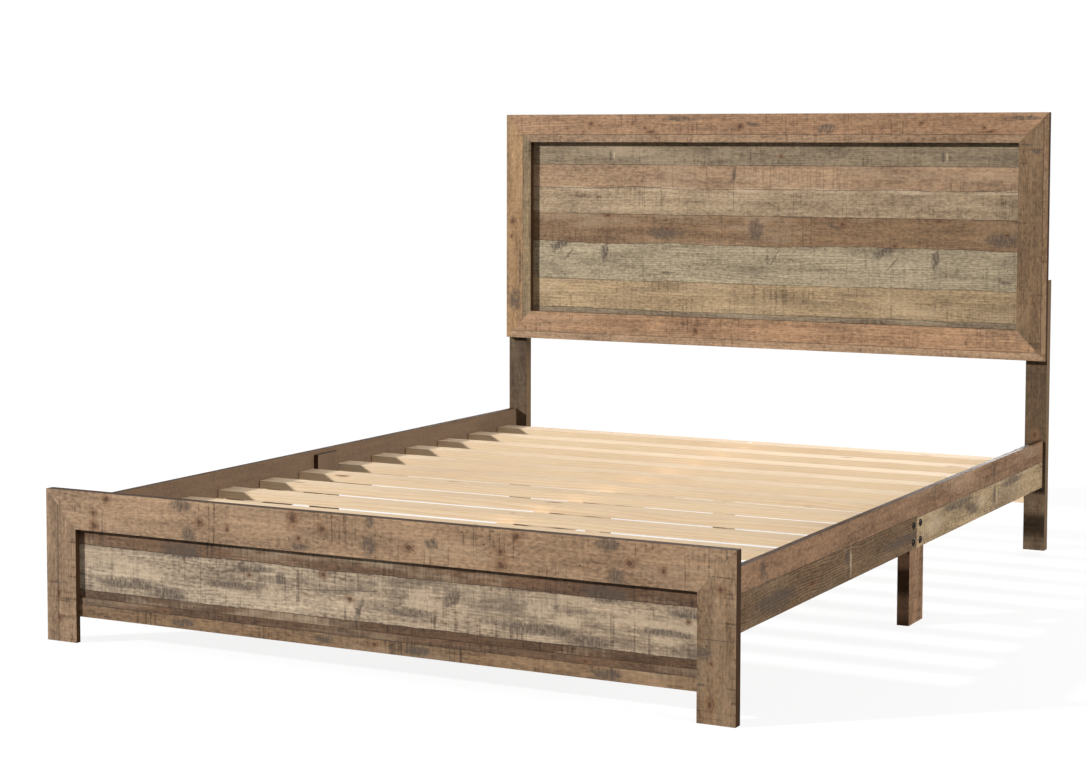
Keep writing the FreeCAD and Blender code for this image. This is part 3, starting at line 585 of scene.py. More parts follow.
def pine_material():
    """Planed pine: yearly rings round a heart beside the board, so its ends show arcs."""
    made, tree, shader = new_material("planed_pine", 0.72)
    place = add(tree, "ShaderNodeAttribute", {"attribute_name": "timber_place"}).outputs["Vector"]
    seed = add(tree, "ShaderNodeAttribute", {"attribute_name": "timber_seed"}).outputs["Fac"]
    moves = joined(tree, product(tree, seed, 17.0), 0.0, product(tree, seed, 5.0))
    own_place = vector_calc(tree, "ADD", place, moves).outputs[0]
    bend = centred(tree, noise(tree, own_place, (1.6, 12, 12), 2.0, 0.4))
    _, across, deep = split(tree, place)
    aside = calc(tree, "ADD", across, scaled(tree, seed, 0.05, -0.025))
    below = calc(tree, "ADD", deep, scaled(tree, seed, 0.02, 0.03))
    squares = calc(tree, "ADD", product(tree, aside, aside), product(tree, below, below))
    heart = calc(tree, "SQRT", squares)
    reach = scaled(tree, bend, 0.03, heart)
    ring = calc(tree, "FRACT", calc(tree, "DIVIDE", reach, board_sizes().ring_spacing))
    late = calc(tree, "POWER", ring, 2.2)
    fine = noise(tree, own_place, (10, 500, 500), 3.0, 0.6)
    patches = noise(tree, own_place, (2.0, 9, 9), 3.0)
    colour = mix(tree, product(tree, late, 0.75), shade(211, 189, 159), shade(187, 155, 119))
    colour = mix(tree, ramp_between(tree, fine, 0.35, 0.8), colour, shade(199, 174, 142))
    colour = mix(tree, product(tree, ramp_between(tree, patches, 0.45, 0.75), 0.3), colour,
                 shade(181, 151, 119))
    cells = vector_calc(tree, "MULTIPLY", own_place, (3.1, 14, 14)).outputs[0]
    knots = add(tree, "ShaderNodeTexVoronoi", {"feature": "F1"}, {"Vector": cells, "Scale": 1.0})
    heart_mask = ramp_between(tree, knots.outputs["Distance"], 0.1, 0.04)
    colour = mix(tree, product(tree, heart_mask, 0.85), colour, shade(122, 82, 52))
    roughness = scaled(tree, late, -0.12, 0.78)
    finish_surface(tree, shader, colour, roughness, fine, board_sizes().bump_depth)
    return made


def metal_material(name, dark, light, roughness, metallic):
    made, tree, shader = new_material(name, roughness, metallic)
    place = object_place(tree)
    skin = use_group(tree, "Metal Surface", Vector=place, Contrast=1.6)
    colour = mix(tree, skin["Tone"], dark, light)
    gloss = scaled(tree, skin["Tone"], 0.22, roughness - 0.11)
    finish_surface(tree, shader, colour, gloss, skin["Height"], METAL_BUMP_DEPTH)
    return made


def black_steel():
    return metal_material("black_oxide_steel", shade(24, 21, 20), shade(66, 58, 54), 0.38, 0.75)


def zinc_steel():
    return metal_material("zinc_plated_steel", shade(150, 150, 146), shade(206, 206, 200), 0.34, 1.0)


def black_plastic():
    return metal_material("black_moulded_plastic", shade(22, 22, 23), shade(44, 44, 45), 0.55, 0.0)


def material(name, maker, *arguments, **options):
    """The named material, made the first time it is asked for."""
    return bpy.data.materials.get(name) or maker(*arguments, **options)


# The dark edging material: real edge banding whose darkness also paints the shade on the narrow faces.
def edging(axes="XYZ"):
    name = "dark_edging_" + axes[0].lower()
    return material(name, plain_board_material, name, colours().edging, axes)


def backing(axes="XYZ"):
    name = "backing_foil_" + axes[0].lower()
    return material(name, plain_board_material, name, colours().backing, axes, 0.4)


# Pieces.


def add_piece(name, mesh, node):
    """Puts a finished mesh in the scene, in place of a CAD node and on its body."""
    piece = bpy.data.objects.new(name, mesh)
    bpy.context.scene.collection.objects.link(piece)
    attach(piece, body_of(frame["nodes"][node])[0])
    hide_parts(node)
    return piece


def clean_copy(node):
    """A bmesh of a node's shape with its loose triangles joined into whole faces."""
    shape = bmesh.new()
    shape.from_mesh(frame["nodes"][node].data)
    bmesh.ops.remove_doubles(shape, verts=shape.verts, dist=MERGE_DISTANCE)
    bmesh.ops.dissolve_limit(shape, angle_limit=FLAT_ANGLE, verts=shape.verts, edges=shape.edges)
    return shape


def shade_by_angle(shape):
    for face in shape.faces:
        face.smooth = True
    for edge in shape.edges:
        edge.smooth = edge.is_manifold and edge.calc_face_angle() < SHARP_ANGLE


def to_mesh(shape, name, materials):
    mesh = bpy.data.meshes.new(name)
    shape.to_mesh(mesh)
    shape.free()
    for surface in materials:
        mesh.materials.append(surface)
    return mesh


def cut_piece(name, mesh, node):
    """A sawn piece, with even shading over its flat faces."""
    weighted = add_piece(name, mesh, node).modifiers.new("even_shading", "WEIGHTED_NORMAL")
    weighted.keep_sharp = True


def board_piece(node, front, *surfaces):
    """A board whose front looks along an axis, such as "-Y", with front, edge and back surfaces."""
    name = f"{node}_board"
    shape = clean_copy(node)
    axis = AXES.index(front[1])
    sign = -1 if front[0] == "-" else 1
    for face in shape.faces:
        outwards = face.normal[axis] * sign
        face.material_index = 0 if outwards > FACING else 2 if outwards < -FACING else 1
    shade_by_angle(shape)
    cut_piece(name, to_mesh(shape, name, surfaces), node)


def foil_board(node, front, surface, axes):
    """A board with a printed front, dark edging that is partly painted shade, and a plain back."""
    board_piece(node, front, surface, edging(axes), backing(axes))


def printed_board(node, front, axes, planks, **printing):
    """A board with a print of its own."""
    foil_board(node, front, plank_material(f"{node}_planks", axes, planks, **printing), axes)


def timber_piece(node, axes, seed):
    """A pine timber that carries its own coordinates: length, width, depth from its middle."""
    name = f"{node}_timber"
    shape = clean_copy(node)
    shade_by_angle(shape)
    mesh = to_mesh(shape, name, (material("planed_pine", pine_material),))
    low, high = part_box(node)
    middle = (low + high) / 2
    order = [AXES.index(axis) for axis in axes]
    offsets = [vertex.co - middle for vertex in mesh.vertices]
    place = mesh.attributes.new("timber_place", "FLOAT_VECTOR", "POINT")
    place.data.foreach_set("vector", [offset[index] for offset in offsets for index in order])
    number = mesh.attributes.new("timber_seed", "FLOAT", "POINT")
    number.data.foreach_set("value", [seed] * len(offsets))
    cut_piece(name, mesh, node)


def islands(node):
    """The separate solids of a node, each as a list of points."""
    shape = bmesh.new()
    shape.from_mesh(frame["nodes"][node].data)
    bmesh.ops.remove_doubles(shape, verts=shape.verts, dist=MERGE_DISTANCE)
    waiting, found = set(shape.verts), []
    while waiting:
        border = [waiting.pop()]
        solid = list(border)
        while border:
            linked = {edge.other_vert(vertex) for vertex in border for edge in vertex.link_edges}
            border = list(linked & waiting)
            waiting -= linked
            solid += border
        found.append([vertex.co.copy() for vertex in solid])
    shape.free()
    return sorted(found, key=lambda points: tuple(round(min(p[i] for p in points), 4) for i in range(3)))


class Fastener:
    """Where one bolt or screw of a group sits: the top of its head and the way it points."""

    def __init__(self, points):
        low = Vector([min(point[i] for point in points) for i in range(3)])
        high = Vector([max(point[i] for point in points) for i in range(3)])
        size = high - low
        axis = max(range(3), key=lambda i: size[i])
        middle = (low + high) / 2
        self.length = size[axis]
        across = [i for i in range(3) if i != axis]

        def width_at(level):
            near = [p for p in points if abs(p[axis] - level) < 1e-4]
            return max(math.hypot(*(p[i] - middle[i] for i in across)) for p in near)

        head_up = width_at(high[axis]) > width_at(low[axis])
        self.top = middle.copy()
        self.top[axis] = high[axis] if head_up else low[axis]
        self.way = Vector((0, 0, 0))
        self.way[axis] = -1 if head_up else 1
        self.head_radius = max(size[i] for i in across) / 2
        self.shank_radius = min(width_at(high[axis]), width_at(low[axis]))

    def matrix(self):
        return Matrix.Translation(self.top) @ self.way.to_track_quat("-Z", "Y").to_matrix().to_4x4()


def lathe(profile, steps):
    """A closed bmesh turned from (radius, height) points about the Z axis."""
    shape = bmesh.new()
    points = [shape.verts.new((radius, 0, height)) for radius, height in profile]
    edges = [shape.edges.new(pair) for pair in zip(points, points[1:])]
    bmesh.ops.spin(shape, geom=points + edges, cent=(0, 0, 0), axis=(0, 0, 1), dvec=(0, 0, 0),
                   angle=TURN, steps=steps, use_merge=True, use_duplicate=False)
    bmesh.ops.remove_doubles(shape, verts=shape.verts, dist=MERGE_DISTANCE)
    bmesh.ops.recalc_face_normals(shape, faces=shape.faces)
    return shape


def reshape_rings(shape, low, high, radius, outline):
    """Gives the turned points between two heights, within a radius, another outline by angle."""
    for vertex in shape.verts:
        reach = math.hypot(vertex.co.x, vertex.co.y)
        if low < vertex.co.z < high and MERGE_DISTANCE < reach < radius:
            share = outline(math.atan2(vertex.co.y, vertex.co.x))
            vertex.co.x *= share
            vertex.co.y *= share


def hexagon(angle):
    """Reach of a hexagon's side, as a share of its corner's."""
    sixth = TURN / 6
    return math.cos(sixth / 2) / math.cos(angle % sixth - sixth / 2)


def cross(angle):
    """Reach of a cross recess, as a share of its arms'."""
    quarter = TURN / 4
    off_arm = min(angle % quarter, quarter - angle % quarter) / (quarter / 2)
    return 1 - 0.66 * min(1, off_arm * 1.7)


def thread(radius, start, end, pitch, depth):
    """Profile points of a thread's ridges, from start down to end."""
    turns = max(1, int((start - end) / pitch))
    points = []
    for turn in range(turns):
        top = start - turn * (start - end) / turns
        points += [(radius, top), (radius - depth, top - 0.5 * (start - end) / turns)]
    return points


def bolt_shape(radius, head_radius, head_height, length):
    """A button-head bolt with a hex socket, the top of its head at the origin."""
    sizes = hardware()
    socket = head_radius * sizes.socket_share
    depth = head_height * 0.62
    dome = head_height * sizes.dome_share
    tip = length - radius * 0.35
    rim = socket * 1.12
    arc = []
    for step in range(5):
        angle = step / 4 * math.pi / 2
        arc.append((rim + (head_radius - rim) * math.sin(angle), dome * (math.cos(angle) - 1)))
    profile = [(0, -depth), (socket, -depth), (socket, -0.2 * dome), *arc,
               (head_radius, -head_height * 0.94), (head_radius * 0.97, -head_height),
               (radius, -head_height)]
    profile += thread(radius, -head_height - radius * 0.5, -tip, sizes.thread_pitch, sizes.thread_depth)
    profile += [(radius, -tip), (radius * 0.7, -length), (0, -length)]
    shape = lathe(profile, BOLT_STEPS)
    reshape_rings(shape, -depth * 1.05, -0.15 * dome, socket * 1.02, hexagon)
    return shape


def screw_shape(radius, head_radius, head_height, length):
    """A wood screw with a flat head, a cross recess and a point, the top of its head at the origin."""
    sizes = hardware()
    recess = head_radius * sizes.recess_share
    depth = head_height * 0.8
    point = length - radius * 2.6
    profile = [(0, -depth), (recess * 0.5, -depth), (recess, -0.12 * head_height),
               (recess * 1.04, 0), (head_radius * 0.93, 0), (head_radius, -0.25 * head_height),
               (head_radius, -0.6 * head_height), (radius * 1.05, -head_height)]
    profile += thread(radius, -length * 0.35, -point, SCREW_PITCH, radius * 0.3)
    profile += [(radius * 0.8, -point), (0, -length)]
    shape = lathe(profile, SCREW_STEPS)
    reshape_rings(shape, -depth * 1.05, -0.1 * head_height, recess * 1.02, cross)
    return shape


def fastener_piece(node, surface, maker, head_height):
    """Every bolt or screw of a group, each where its CAD solid is, as one piece."""
    name = f"{node}_turned"
    everything = bmesh.new()
    masters = {}
    for points in islands(node):
        spot = Fastener(points)
        key = round(spot.length, 4)
        if key not in masters:
            master = maker(spot.shank_radius, spot.head_radius, head_height, spot.length)
            masters[key] = to_mesh(master, f"{name}_master_{len(masters)}", ())
        first = len(everything.verts)
        everything.from_mesh(masters[key])
        everything.verts.ensure_lookup_table()
        bmesh.ops.transform(everything, matrix=spot.matrix(), verts=everything.verts[first:])
    shade_by_angle(everything)
    add_piece(name, to_mesh(everything, name, (surface,)), node)
    for mesh in masters.values():
        bpy.data.meshes.remove(mesh)


def dress(node, surface):
    """Gives a CAD node that stays its own material."""
    piece = frame["nodes"][node]
    for place in piece.material_slots:
        place.link = "OBJECT"
        place.material = surface


class BedOperator:
    """What every operator of this file shares."""

    bl_options = {"REGISTER", "UNDO"}


class BED_OT_headboard_frame(BedOperator, bpy.types.Operator):
    """The four mitred boards round the headboard panel"""

    bl_idname = "bed.headboard_frame"
    bl_label = "Headboard Frame"

    def execute(self, context):
        c = colours()
        rail_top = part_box("headboard_top_rail")[1].z
        rail_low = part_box("headboard_bottom_rail")[0].z
        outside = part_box("headboard_left_stile")[0].x
        printed_board(
            "headboard_top_rail", "-Y", "XZY",
            [(c.frame_brown, rail_top - 0.0585, 0.0005, 0.6), (c.rose, None, 0, 0.5)], seed=1.3, start=-0.7,
            drift=(-0.7, 0.75, (0.87, 0.84, 0.82)),
            knots=((-0.067, 1.129, 0.009, 0.008), (-0.534, 1.137, 0.007, 0.005),
                   (-0.344, 1.114, 0.012, 0.004), (-0.36, 1.125, 0.005, 0.004)),
            marks=((0.189, 1.123, 0.03, 0.012), (-0.03, 1.136, 0.02, 0.005, 10),
                   (-0.25, 1.15, 0.05, 0.006)), figure=0.8, stain=0.3, wear=0.12)
        printed_board(
            "headboard_bottom_rail", "-Y", "XZY",
            [(c.frame_brown, rail_low + 0.021, 0.0005, 0.6), (c.rose, None, 0, 0.5)], seed=4.1, start=-0.6,
            knots=((-0.2, 0.55, 0.009, 0.008),), figure=0.7, stain=0.3, wear=0.12)
        printed_board(
            "headboard_left_stile", "-Y", "ZXY",
            [(c.olive, outside + 0.054, 0.0008, 1.0), (c.tawny, None, 0, 0.6)], seed=2.6,
            knots=((0.851, -0.79, 0.009, 0.006), (0.808, -0.793, 0.005, 0.004)),
            marks=((0.72, -0.765, 0.06, 0.004), (0.62, -0.78, 0.03, 0.02)),
            stain=0.3, wear=0.25, figure=0.4)
        printed_board(
            "headboard_right_stile", "-Y", "ZXY",
            [(c.russet, -outside - 0.0135, 0.0005, 0.6), (c.stile_brown, None, 0, 0.8)], seed=3.9,
            marks=((1.062, 0.778, 0.007, 0.012), (1.08, 0.75, 0.002, 0.03)),
            stain=0.35, wear=0.12, figure=0.4)
        return {"FINISHED"}


class BED_OT_headboard_panel(BedOperator, bpy.types.Operator):
    """The wide headboard panel with its seven printed planks"""

    bl_idname = "bed.headboard_panel"
    bl_label = "Headboard Panel"

    def execute(self, context):
        c = colours()
        printed_board(
            "headboard_panel", "-Y", "XZY",
            [(c.stone, 1.020, 0.0006, 0.9), (c.rose, 0.953, 0.006, 0.5), (c.sand, 0.878, 0.0012, 0.7),
             (c.russet, 0.795, 0.006, 0.6), (c.cream, 0.687, 0.004, 1.0), (c.straw, 0.602, 0.003, 0.8),
             (c.stone, None, 0, 0.9)],
            start=-0.7, seed=0.4,
            knots=((-0.487, 0.873, 0.012, 0.004), (-0.297, 0.838, 0.006, 0.004),
                   (0.233, 0.859, 0.009, 0.007), (-0.61, 0.803, 0.006, 0.004), (0.05, 1.045, 0.006, 0.004)),
            marks=((-0.478, 1.046, 0.005, 0.014), (-0.092, 0.993, 0.006, 0.024, 8),
                   (-0.092, 0.935, 0.0012, 0.05), (-0.024, 0.835, 0.02, 0.035),
                   (-0.64, 0.785, 0.035, 0.012, -25), (-0.615, 0.755, 0.028, 0.0016, -48),
                   (-0.495, 0.765, 0.012, 0.028, 5), (0.034, 0.764, 0.034, 0.0015, -60),
                   (-0.305, 0.825, 0.05, 0.018), (0.21, 0.852, 0.02, 0.006, 20),
                   (-0.3, 0.712, 0.016, 0.005)),
            patches=((-0.466, 1.046, 0.003, 0.015), (-0.58, 0.95, 0.07, 0.006, 3),
                     (-0.3, 0.951, 0.09, 0.005, -2), (-0.05, 0.95, 0.05, 0.007),
                     (0.2, 0.95, 0.08, 0.006, 2)),
            drift=(-0.75, 0.75, (0.86, 0.86, 0.86)),
            grain=0.6, figure=0.45, saw=0.42, stain=0.45, wear=0.3)
        return {"FINISHED"}


class BED_OT_headboard_legs(BedOperator, bpy.types.Operator):
    """The two headboard legs and the stretcher between them"""

    bl_idname = "bed.headboard_legs"
    bl_label = "Headboard Legs"

    def execute(self, context):
        c = colours()
        # The legs' fronts take the stile brown dimmed to 0.55: painted shade, darker than their sides, for
        # the shadow over the fronts; the sides keep the full stile brown.
        front = plank_material(
            "headboard_leg_shaded_planks", "ZXY", [(dimmed(c.stile_brown, 0.55), None, 0, 0.8)], seed=5.2,
            knots=((0.31, 0.78, 0.009, 0.006), (0.12, -0.785, 0.008, 0.006)), stain=0.55, wear=0.1)
        edge = plain_board_material("leg_side", c.stile_brown, "ZXY")
        for side in SIDES:
            board_piece(f"headboard_{side}_leg", "-Y", front, edge, backing("ZXY"))
        timber_piece("headboard_stretcher", "XZY", 0.35)
        return {"FINISHED"}


class BED_OT_footboard_frame(BedOperator, bpy.types.Operator):
    """The footboard's top rail and its two mitred legs"""

    bl_idname = "bed.footboard_frame"
    bl_label = "Footboard Frame"

    def execute(self, context):
        c = colours()
        leg_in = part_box("footboard_left_leg")[0].x
        printed_board(
            "footboard_top_rail", "-Y", "XZY", [(c.foot_brown, None, 0, 0.6)], start=-0.78, seed=6.4,
            drift=(-0.8, 0.8, (0.9, 0.87, 0.84)),
            knots=((-0.647, 0.32, 0.008, 0.008), (-0.682, 0.288, 0.007, 0.006),
                   (-0.68, 0.261, 0.009, 0.009), (-0.403, 0.289, 0.009, 0.007),
                   (-0.333, 0.28, 0.005, 0.006), (-0.171, 0.315, 0.009, 0.012),
                   (-0.099, 0.3, 0.009, 0.007), (-0.156, 0.276, 0.006, 0.005), (0.105, 0.278, 0.01, 0.007)),
            marks=((-0.432, 0.262, 0.02, 0.014), (-0.45, 0.322, 0.025, 0.012),
                   (0.015, 0.325, 0.008, 0.014), (0.013, 0.275, 0.016, 0.02),
                   (-0.15, 0.258, 0.02, 0.008), (0.16, 0.29, 0.016, 0.01)),
            grain=0.7, figure=0.35, saw=0.8, stain=0.16, wear=0.2, pits=1.0)
        printed_board(
            "footboard_left_leg", "-Y", "ZXY",
            [(dimmed(c.foot_brown, 0.84), leg_in + 0.031, 0.0004, 0.6),
             (dimmed(c.foot_brown, 0.78), None, 0, 0.6)], seed=7.7,
            knots=((0.05, -0.776, 0.007, 0.005), (0.105, -0.778, 0.01, 0.004)),
            marks=((0.12, -0.78, 0.03, 0.003), (0.232, -0.79, 0.005, 0.004), (0.13, -0.77, 0.001, 0.03)),
            grain=0.7, saw=0.8, stain=0.15, wear=0.15, pits=1.0)
        printed_board(
            "footboard_right_leg", "-Y", "ZXY", [(c.leg_brown, None, 0, 0.6)], seed=8.9,
            drift=(0.14, 0.3, (1.45, 1.53, 1.65)),
            knots=((0.256, 0.779, 0.007, 0.006), (0.037, 0.758, 0.011, 0.006), (0.115, 0.76, 0.004, 0.004)),
            marks=((0.134, 0.745, 0.014, 0.018), (0.16, 0.77, 0.0012, 0.04),
                   (0.05, 0.762, 0.02, 0.002, 20)),
            grain=0.7, saw=0.8, stain=0.2, wear=0.15, pits=1.0)
        return {"FINISHED"}


class BED_OT_footboard_panel(BedOperator, bpy.types.Operator):
    """The footboard's set-back panel, its bottom rail and the two rear posts"""

    bl_idname = "bed.footboard_panel"
    bl_label = "Footboard Panel"

    def execute(self, context):
        c = colours()
        printed_board(
            "footboard_panel", "-Y", "XZY",
            [(dimmed(c.umber, 1.05), 0.2145, 0.003, 0.4), (c.weathered, 0.1155, 0.0016, 1.0),
             (dimmed(c.umber, 0.85), None, 0, 0.3)],
            start=-0.78, seed=9.3,
            knots=((-0.106, 0.203, 0.007, 0.006), (-0.287, 0.186, 0.005, 0.004),
                   (-0.042, 0.159, 0.008, 0.005)),
            marks=((-0.459, 0.222, 0.05, 0.016), (-0.494, 0.126, 0.045, 0.012),
                   (0.198, 0.182, 0.022, 0.014, -30), (-0.33, 0.16, 0.06, 0.008),
                   (-0.21, 0.186, 0.012, 0.012), (-0.02, 0.135, 0.03, 0.006, -70),
                   (-0.07, 0.174, 0.11, 0.0012, -4), (0.1, 0.145, 0.06, 0.009),
                   (-0.6, 0.141, 0.08, 0.012), (-0.28, 0.2, 0.05, 0.008)),
            patches=((0.13, 0.167, 0.04, 0.022), (-0.605, 0.18, 0.03, 0.014),
                     (-0.54, 0.16, 0.03, 0.014), (-0.336, 0.152, 0.035, 0.016),
                     (-0.227, 0.155, 0.025, 0.02), (-0.05, 0.146, 0.02, 0.012)),
            drift=(-0.7, 0.7, (0.86, 0.82, 0.78)),
            grain=0.7, figure=0.4, saw=0.7, stain=0.8, wear=0.6, pits=0.9)
        printed_board(
            "footboard_bottom_rail", "-Y", "XZY",
            [(dimmed(c.umber, 0.85), 0.084, 0.0007, 0.7), (dimmed(c.leg_brown, 1.08), None, 0, 0.7)],
            start=-0.7, seed=10.1,
            marks=((-0.1, 0.072, 0.02, 0.009), (0.12, 0.07, 0.03, 0.01), (-0.45, 0.07, 0.03, 0.009)),
            knots=((-0.5, 0.09, 0.007, 0.003), (0.02, 0.073, 0.006, 0.005)),
            grain=0.7, saw=0.8, stain=0.45, wear=0.25)
        for side in SIDES:
            board_piece(f"footboard_{side}_post", "+Y", backing("ZXY"), edging("ZXY"), edging("ZXY"))
        return {"FINISHED"}


class BED_OT_side_rails(BedOperator, bpy.types.Operator):
    """The side rails, each in a front and a rear half"""

    bl_idname = "bed.side_rails"
    bl_label = "Side Rails"

    def execute(self, context):
        c = colours()
        seam_z = 0.243
        front = plank_material(
            "side_rail_front_planks", "YZX",
            [(c.rail_red, seam_z, 0.002, 0.12), (c.stile_brown, None, 0, 1.0)], seed=11.2,
            marks=((-0.924, 0.27, 0.014, 0.02), (-0.9, 0.25, 0.006, 0.012),
                   (-0.455, 0.225, 0.012, 0.02), (-0.452, 0.19, 0.004, 0.03),
                   (-0.85, 0.2, 0.1, 0.02), (-0.1, 0.2, 0.12, 0.012)),
            patches=((-0.436, 0.208, 0.006, 0.03),),
            knots=((-0.66, 0.2, 0.02, 0.004), (-0.3, 0.262, 0.008, 0.004)),
            figure=0.95, saw=0.15, stain=0.15, wear=0.1)
        rear = plank_material(
            "side_rail_rear_planks", "YZX",
            [(c.rail_red, seam_z - 0.004, 0.002, 0.2), (c.straw, None, 0, 1.0)], seed=12.5,
            marks=((0.595, 0.268, 0.01, 0.018), (0.6, 0.21, 0.01, 0.022), (0.3, 0.228, 0.12, 0.009),
                   (0.75, 0.225, 0.08, 0.01), (0.42, 0.2, 0.05, 0.012, 10)),
            patches=((0.12, 0.205, 0.06, 0.02), (0.62, 0.205, 0.006, 0.02), (0.5, 0.21, 0.04, 0.012)),
            grain=0.65, figure=0.4, saw=0.4, stain=0.42, wear=0.3)
        for side, out in OUTWARDS.items():
            for half, surface in (("front", front), ("rear", rear)):
                foil_board(f"side_rail_{side}_{half}", out, surface, "YZX")
        return {"FINISHED"}


class BED_OT_centre_legs(BedOperator, bpy.types.Operator):
    """The doubled legs that the halves of each side rail are bolted to"""

    bl_idname = "bed.centre_legs"
    bl_label = "Centre Legs"

    def execute(self, context):
        c = colours()
        surface = plank_material("centre_leg_planks", "ZYX", [(c.rail_red, None, 0, 0.6)], seed=13.4,
                                 knots=((0.06, 0.02, 0.008, 0.005),), grain=0.65, stain=0.2, wear=0.15)
        # The legs' narrow faces, their fronts included, take the dark edging, which also paints the shade
        # that falls over those fronts.
        for side, out in OUTWARDS.items():
            for layer in ("outer", "inner"):
                foil_board(f"centre_leg_{side}_{layer}", out, surface, "ZYX")
        return {"FINISHED"}


class BED_OT_slat_deck(BedOperator, bpy.types.Operator):
    """The pine slats, the cleats they rest on, the centre beam and its posts"""

    bl_idname = "bed.slat_deck"
    bl_label = "Slat Deck"

    def execute(self, context):
        chance = random.Random(12)
        for number in range(1, 13):
            timber_piece(f"slat_{number:02d}", "XYZ", chance.random())
        for half in ("front", "rear"):
            timber_piece(f"centre_beam_{half}", "YXZ", chance.random())
            for side in SIDES:
                timber_piece(f"slat_cleat_{side}_{half}", "YXZ", chance.random())
        for place in FOOT_PLACES:
            timber_piece(f"support_post_{place}", "ZYX", chance.random())
        dress("dowels", plain_board_material("turned_beech", colours().beech, "ZXY", 0.3))
        return {"FINISHED"}


class BED_OT_bolts(BedOperator, bpy.types.Operator):
    """The black bolts, the corner brackets and the nuts behind the centre legs"""

    bl_idname = "bed.bolts"
    bl_label = "Bolts and Brackets"

    def execute(self, context):
        black = material("black_oxide_steel", black_steel)
        for node in ("bracket_bolts", "centre_leg_bolts", "headboard_leg_bolts"):
            fastener_piece(node, black, bolt_shape, BOLT_HEAD_HEIGHT)
        dress("corner_brackets", black)
        zinc = material("zinc_plated_steel", zinc_steel)
        dress("centre_leg_nuts", zinc)
        dress("threaded_inserts", zinc)
        return {"FINISHED"}


class BED_OT_screws(BedOperator, bpy.types.Operator):
    """The screws of the deck, the headboard panel and the footboard"""

    bl_idname = "bed.screws"
    bl_label = "Screws"

    def execute(self, context):
        zinc = material("zinc_plated_steel", zinc_steel)
        for node in ("deck_screws", "panel_screws", "footboard_screws"):
            fastener_piece(node, zinc, screw_shape, SCREW_HEAD_HEIGHT)
        return {"FINISHED"}


class BED_OT_levelling_feet(BedOperator, bpy.types.Operator):
    """The three levelling feet under the centre beam: a ribbed pad and a threaded stem each"""

    bl_idname = "bed.levelling_feet"
    bl_label = "Levelling Feet"

    def execute(self, context):
        for place in FOOT_PLACES:
            self.make_pad(place)
            self.make_stem(place)
        return {"FINISHED"}

    def make_pad(self, place):
        """A moulded pad with ribs round its rim and a socket for the stem."""
        node = f"levelling_pad_{place}"
        low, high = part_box(node)
        radius, height = (high.x - low.x) / 2, high.z - low.z
        socket, floor = radius * 0.2533, height * 4 / 9
        steps = hardware().pad_ribs * STEPS_PER_RIB
        profile = [(0, 0), (radius * 0.9, 0), (radius, height * 0.12), (radius, height * 0.5),
                   (radius * 0.96, height * 0.6), (radius * 0.56, height * 0.96), (radius * 0.5, height),
                   (socket * 1.12, height), (socket, height * 0.95), (socket, floor), (0, floor)]
        shape = lathe(profile, steps)
        for vertex in shape.verts:
            reach = math.hypot(vertex.co.x, vertex.co.y)
            step = round(math.atan2(vertex.co.y, vertex.co.x) / TURN * steps) % STEPS_PER_RIB
            if reach > radius * 0.97 and step == 0:
                vertex.co.xy *= RIB_NOTCH
        bmesh.ops.translate(
            shape, verts=shape.verts, vec=((low.x + high.x) / 2, (low.y + high.y) / 2, low.z))
        shade_by_angle(shape)
        surface = material("black_moulded_plastic", black_plastic)
        add_piece(f"{node}_moulded", to_mesh(shape, node, (surface,)), node)

    def make_stem(self, place):
        """A threaded stem with a hex collar for a spanner."""
        node = f"levelling_stem_{place}"
        low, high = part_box(node)
        middle = ((low.x + high.x) / 2, (low.y + high.y) / 2, 0)
        sizes = hardware()
        radius, collar_low, collar_high = sizes.stem_radius, sizes.collar_low, sizes.collar_high
        profile = [(0, high.z), (radius * 0.75, high.z), (radius, high.z - radius * 0.3)]
        profile += thread(radius, high.z - radius * 0.5, collar_high, sizes.thread_pitch,
                          sizes.thread_depth)
        profile += [(radius, collar_high), (radius, low.z + radius * 0.2), (radius * 0.8, low.z),
                    (0, low.z)]
        shape = lathe(profile, BOLT_STEPS)
        collar = bmesh.ops.create_cone(shape, cap_ends=True, segments=6, depth=collar_high - collar_low,
                                       radius1=(high.x - low.x) / 2, radius2=(high.x - low.x) / 2)["verts"]
        bmesh.ops.rotate(shape, verts=collar, cent=(0, 0, 0), matrix=Matrix.Rotation(TURN / 12, 3, "Z"))
        bmesh.ops.translate(shape, verts=collar, vec=(0, 0, (collar_low + collar_high) / 2))
        bmesh.ops.translate(shape, verts=shape.verts, vec=middle)
        shade_by_angle(shape)
        surface = material("zinc_plated_steel", zinc_steel)
        add_piece(f"{node}_turned", to_mesh(shape, node, (surface,)), node)


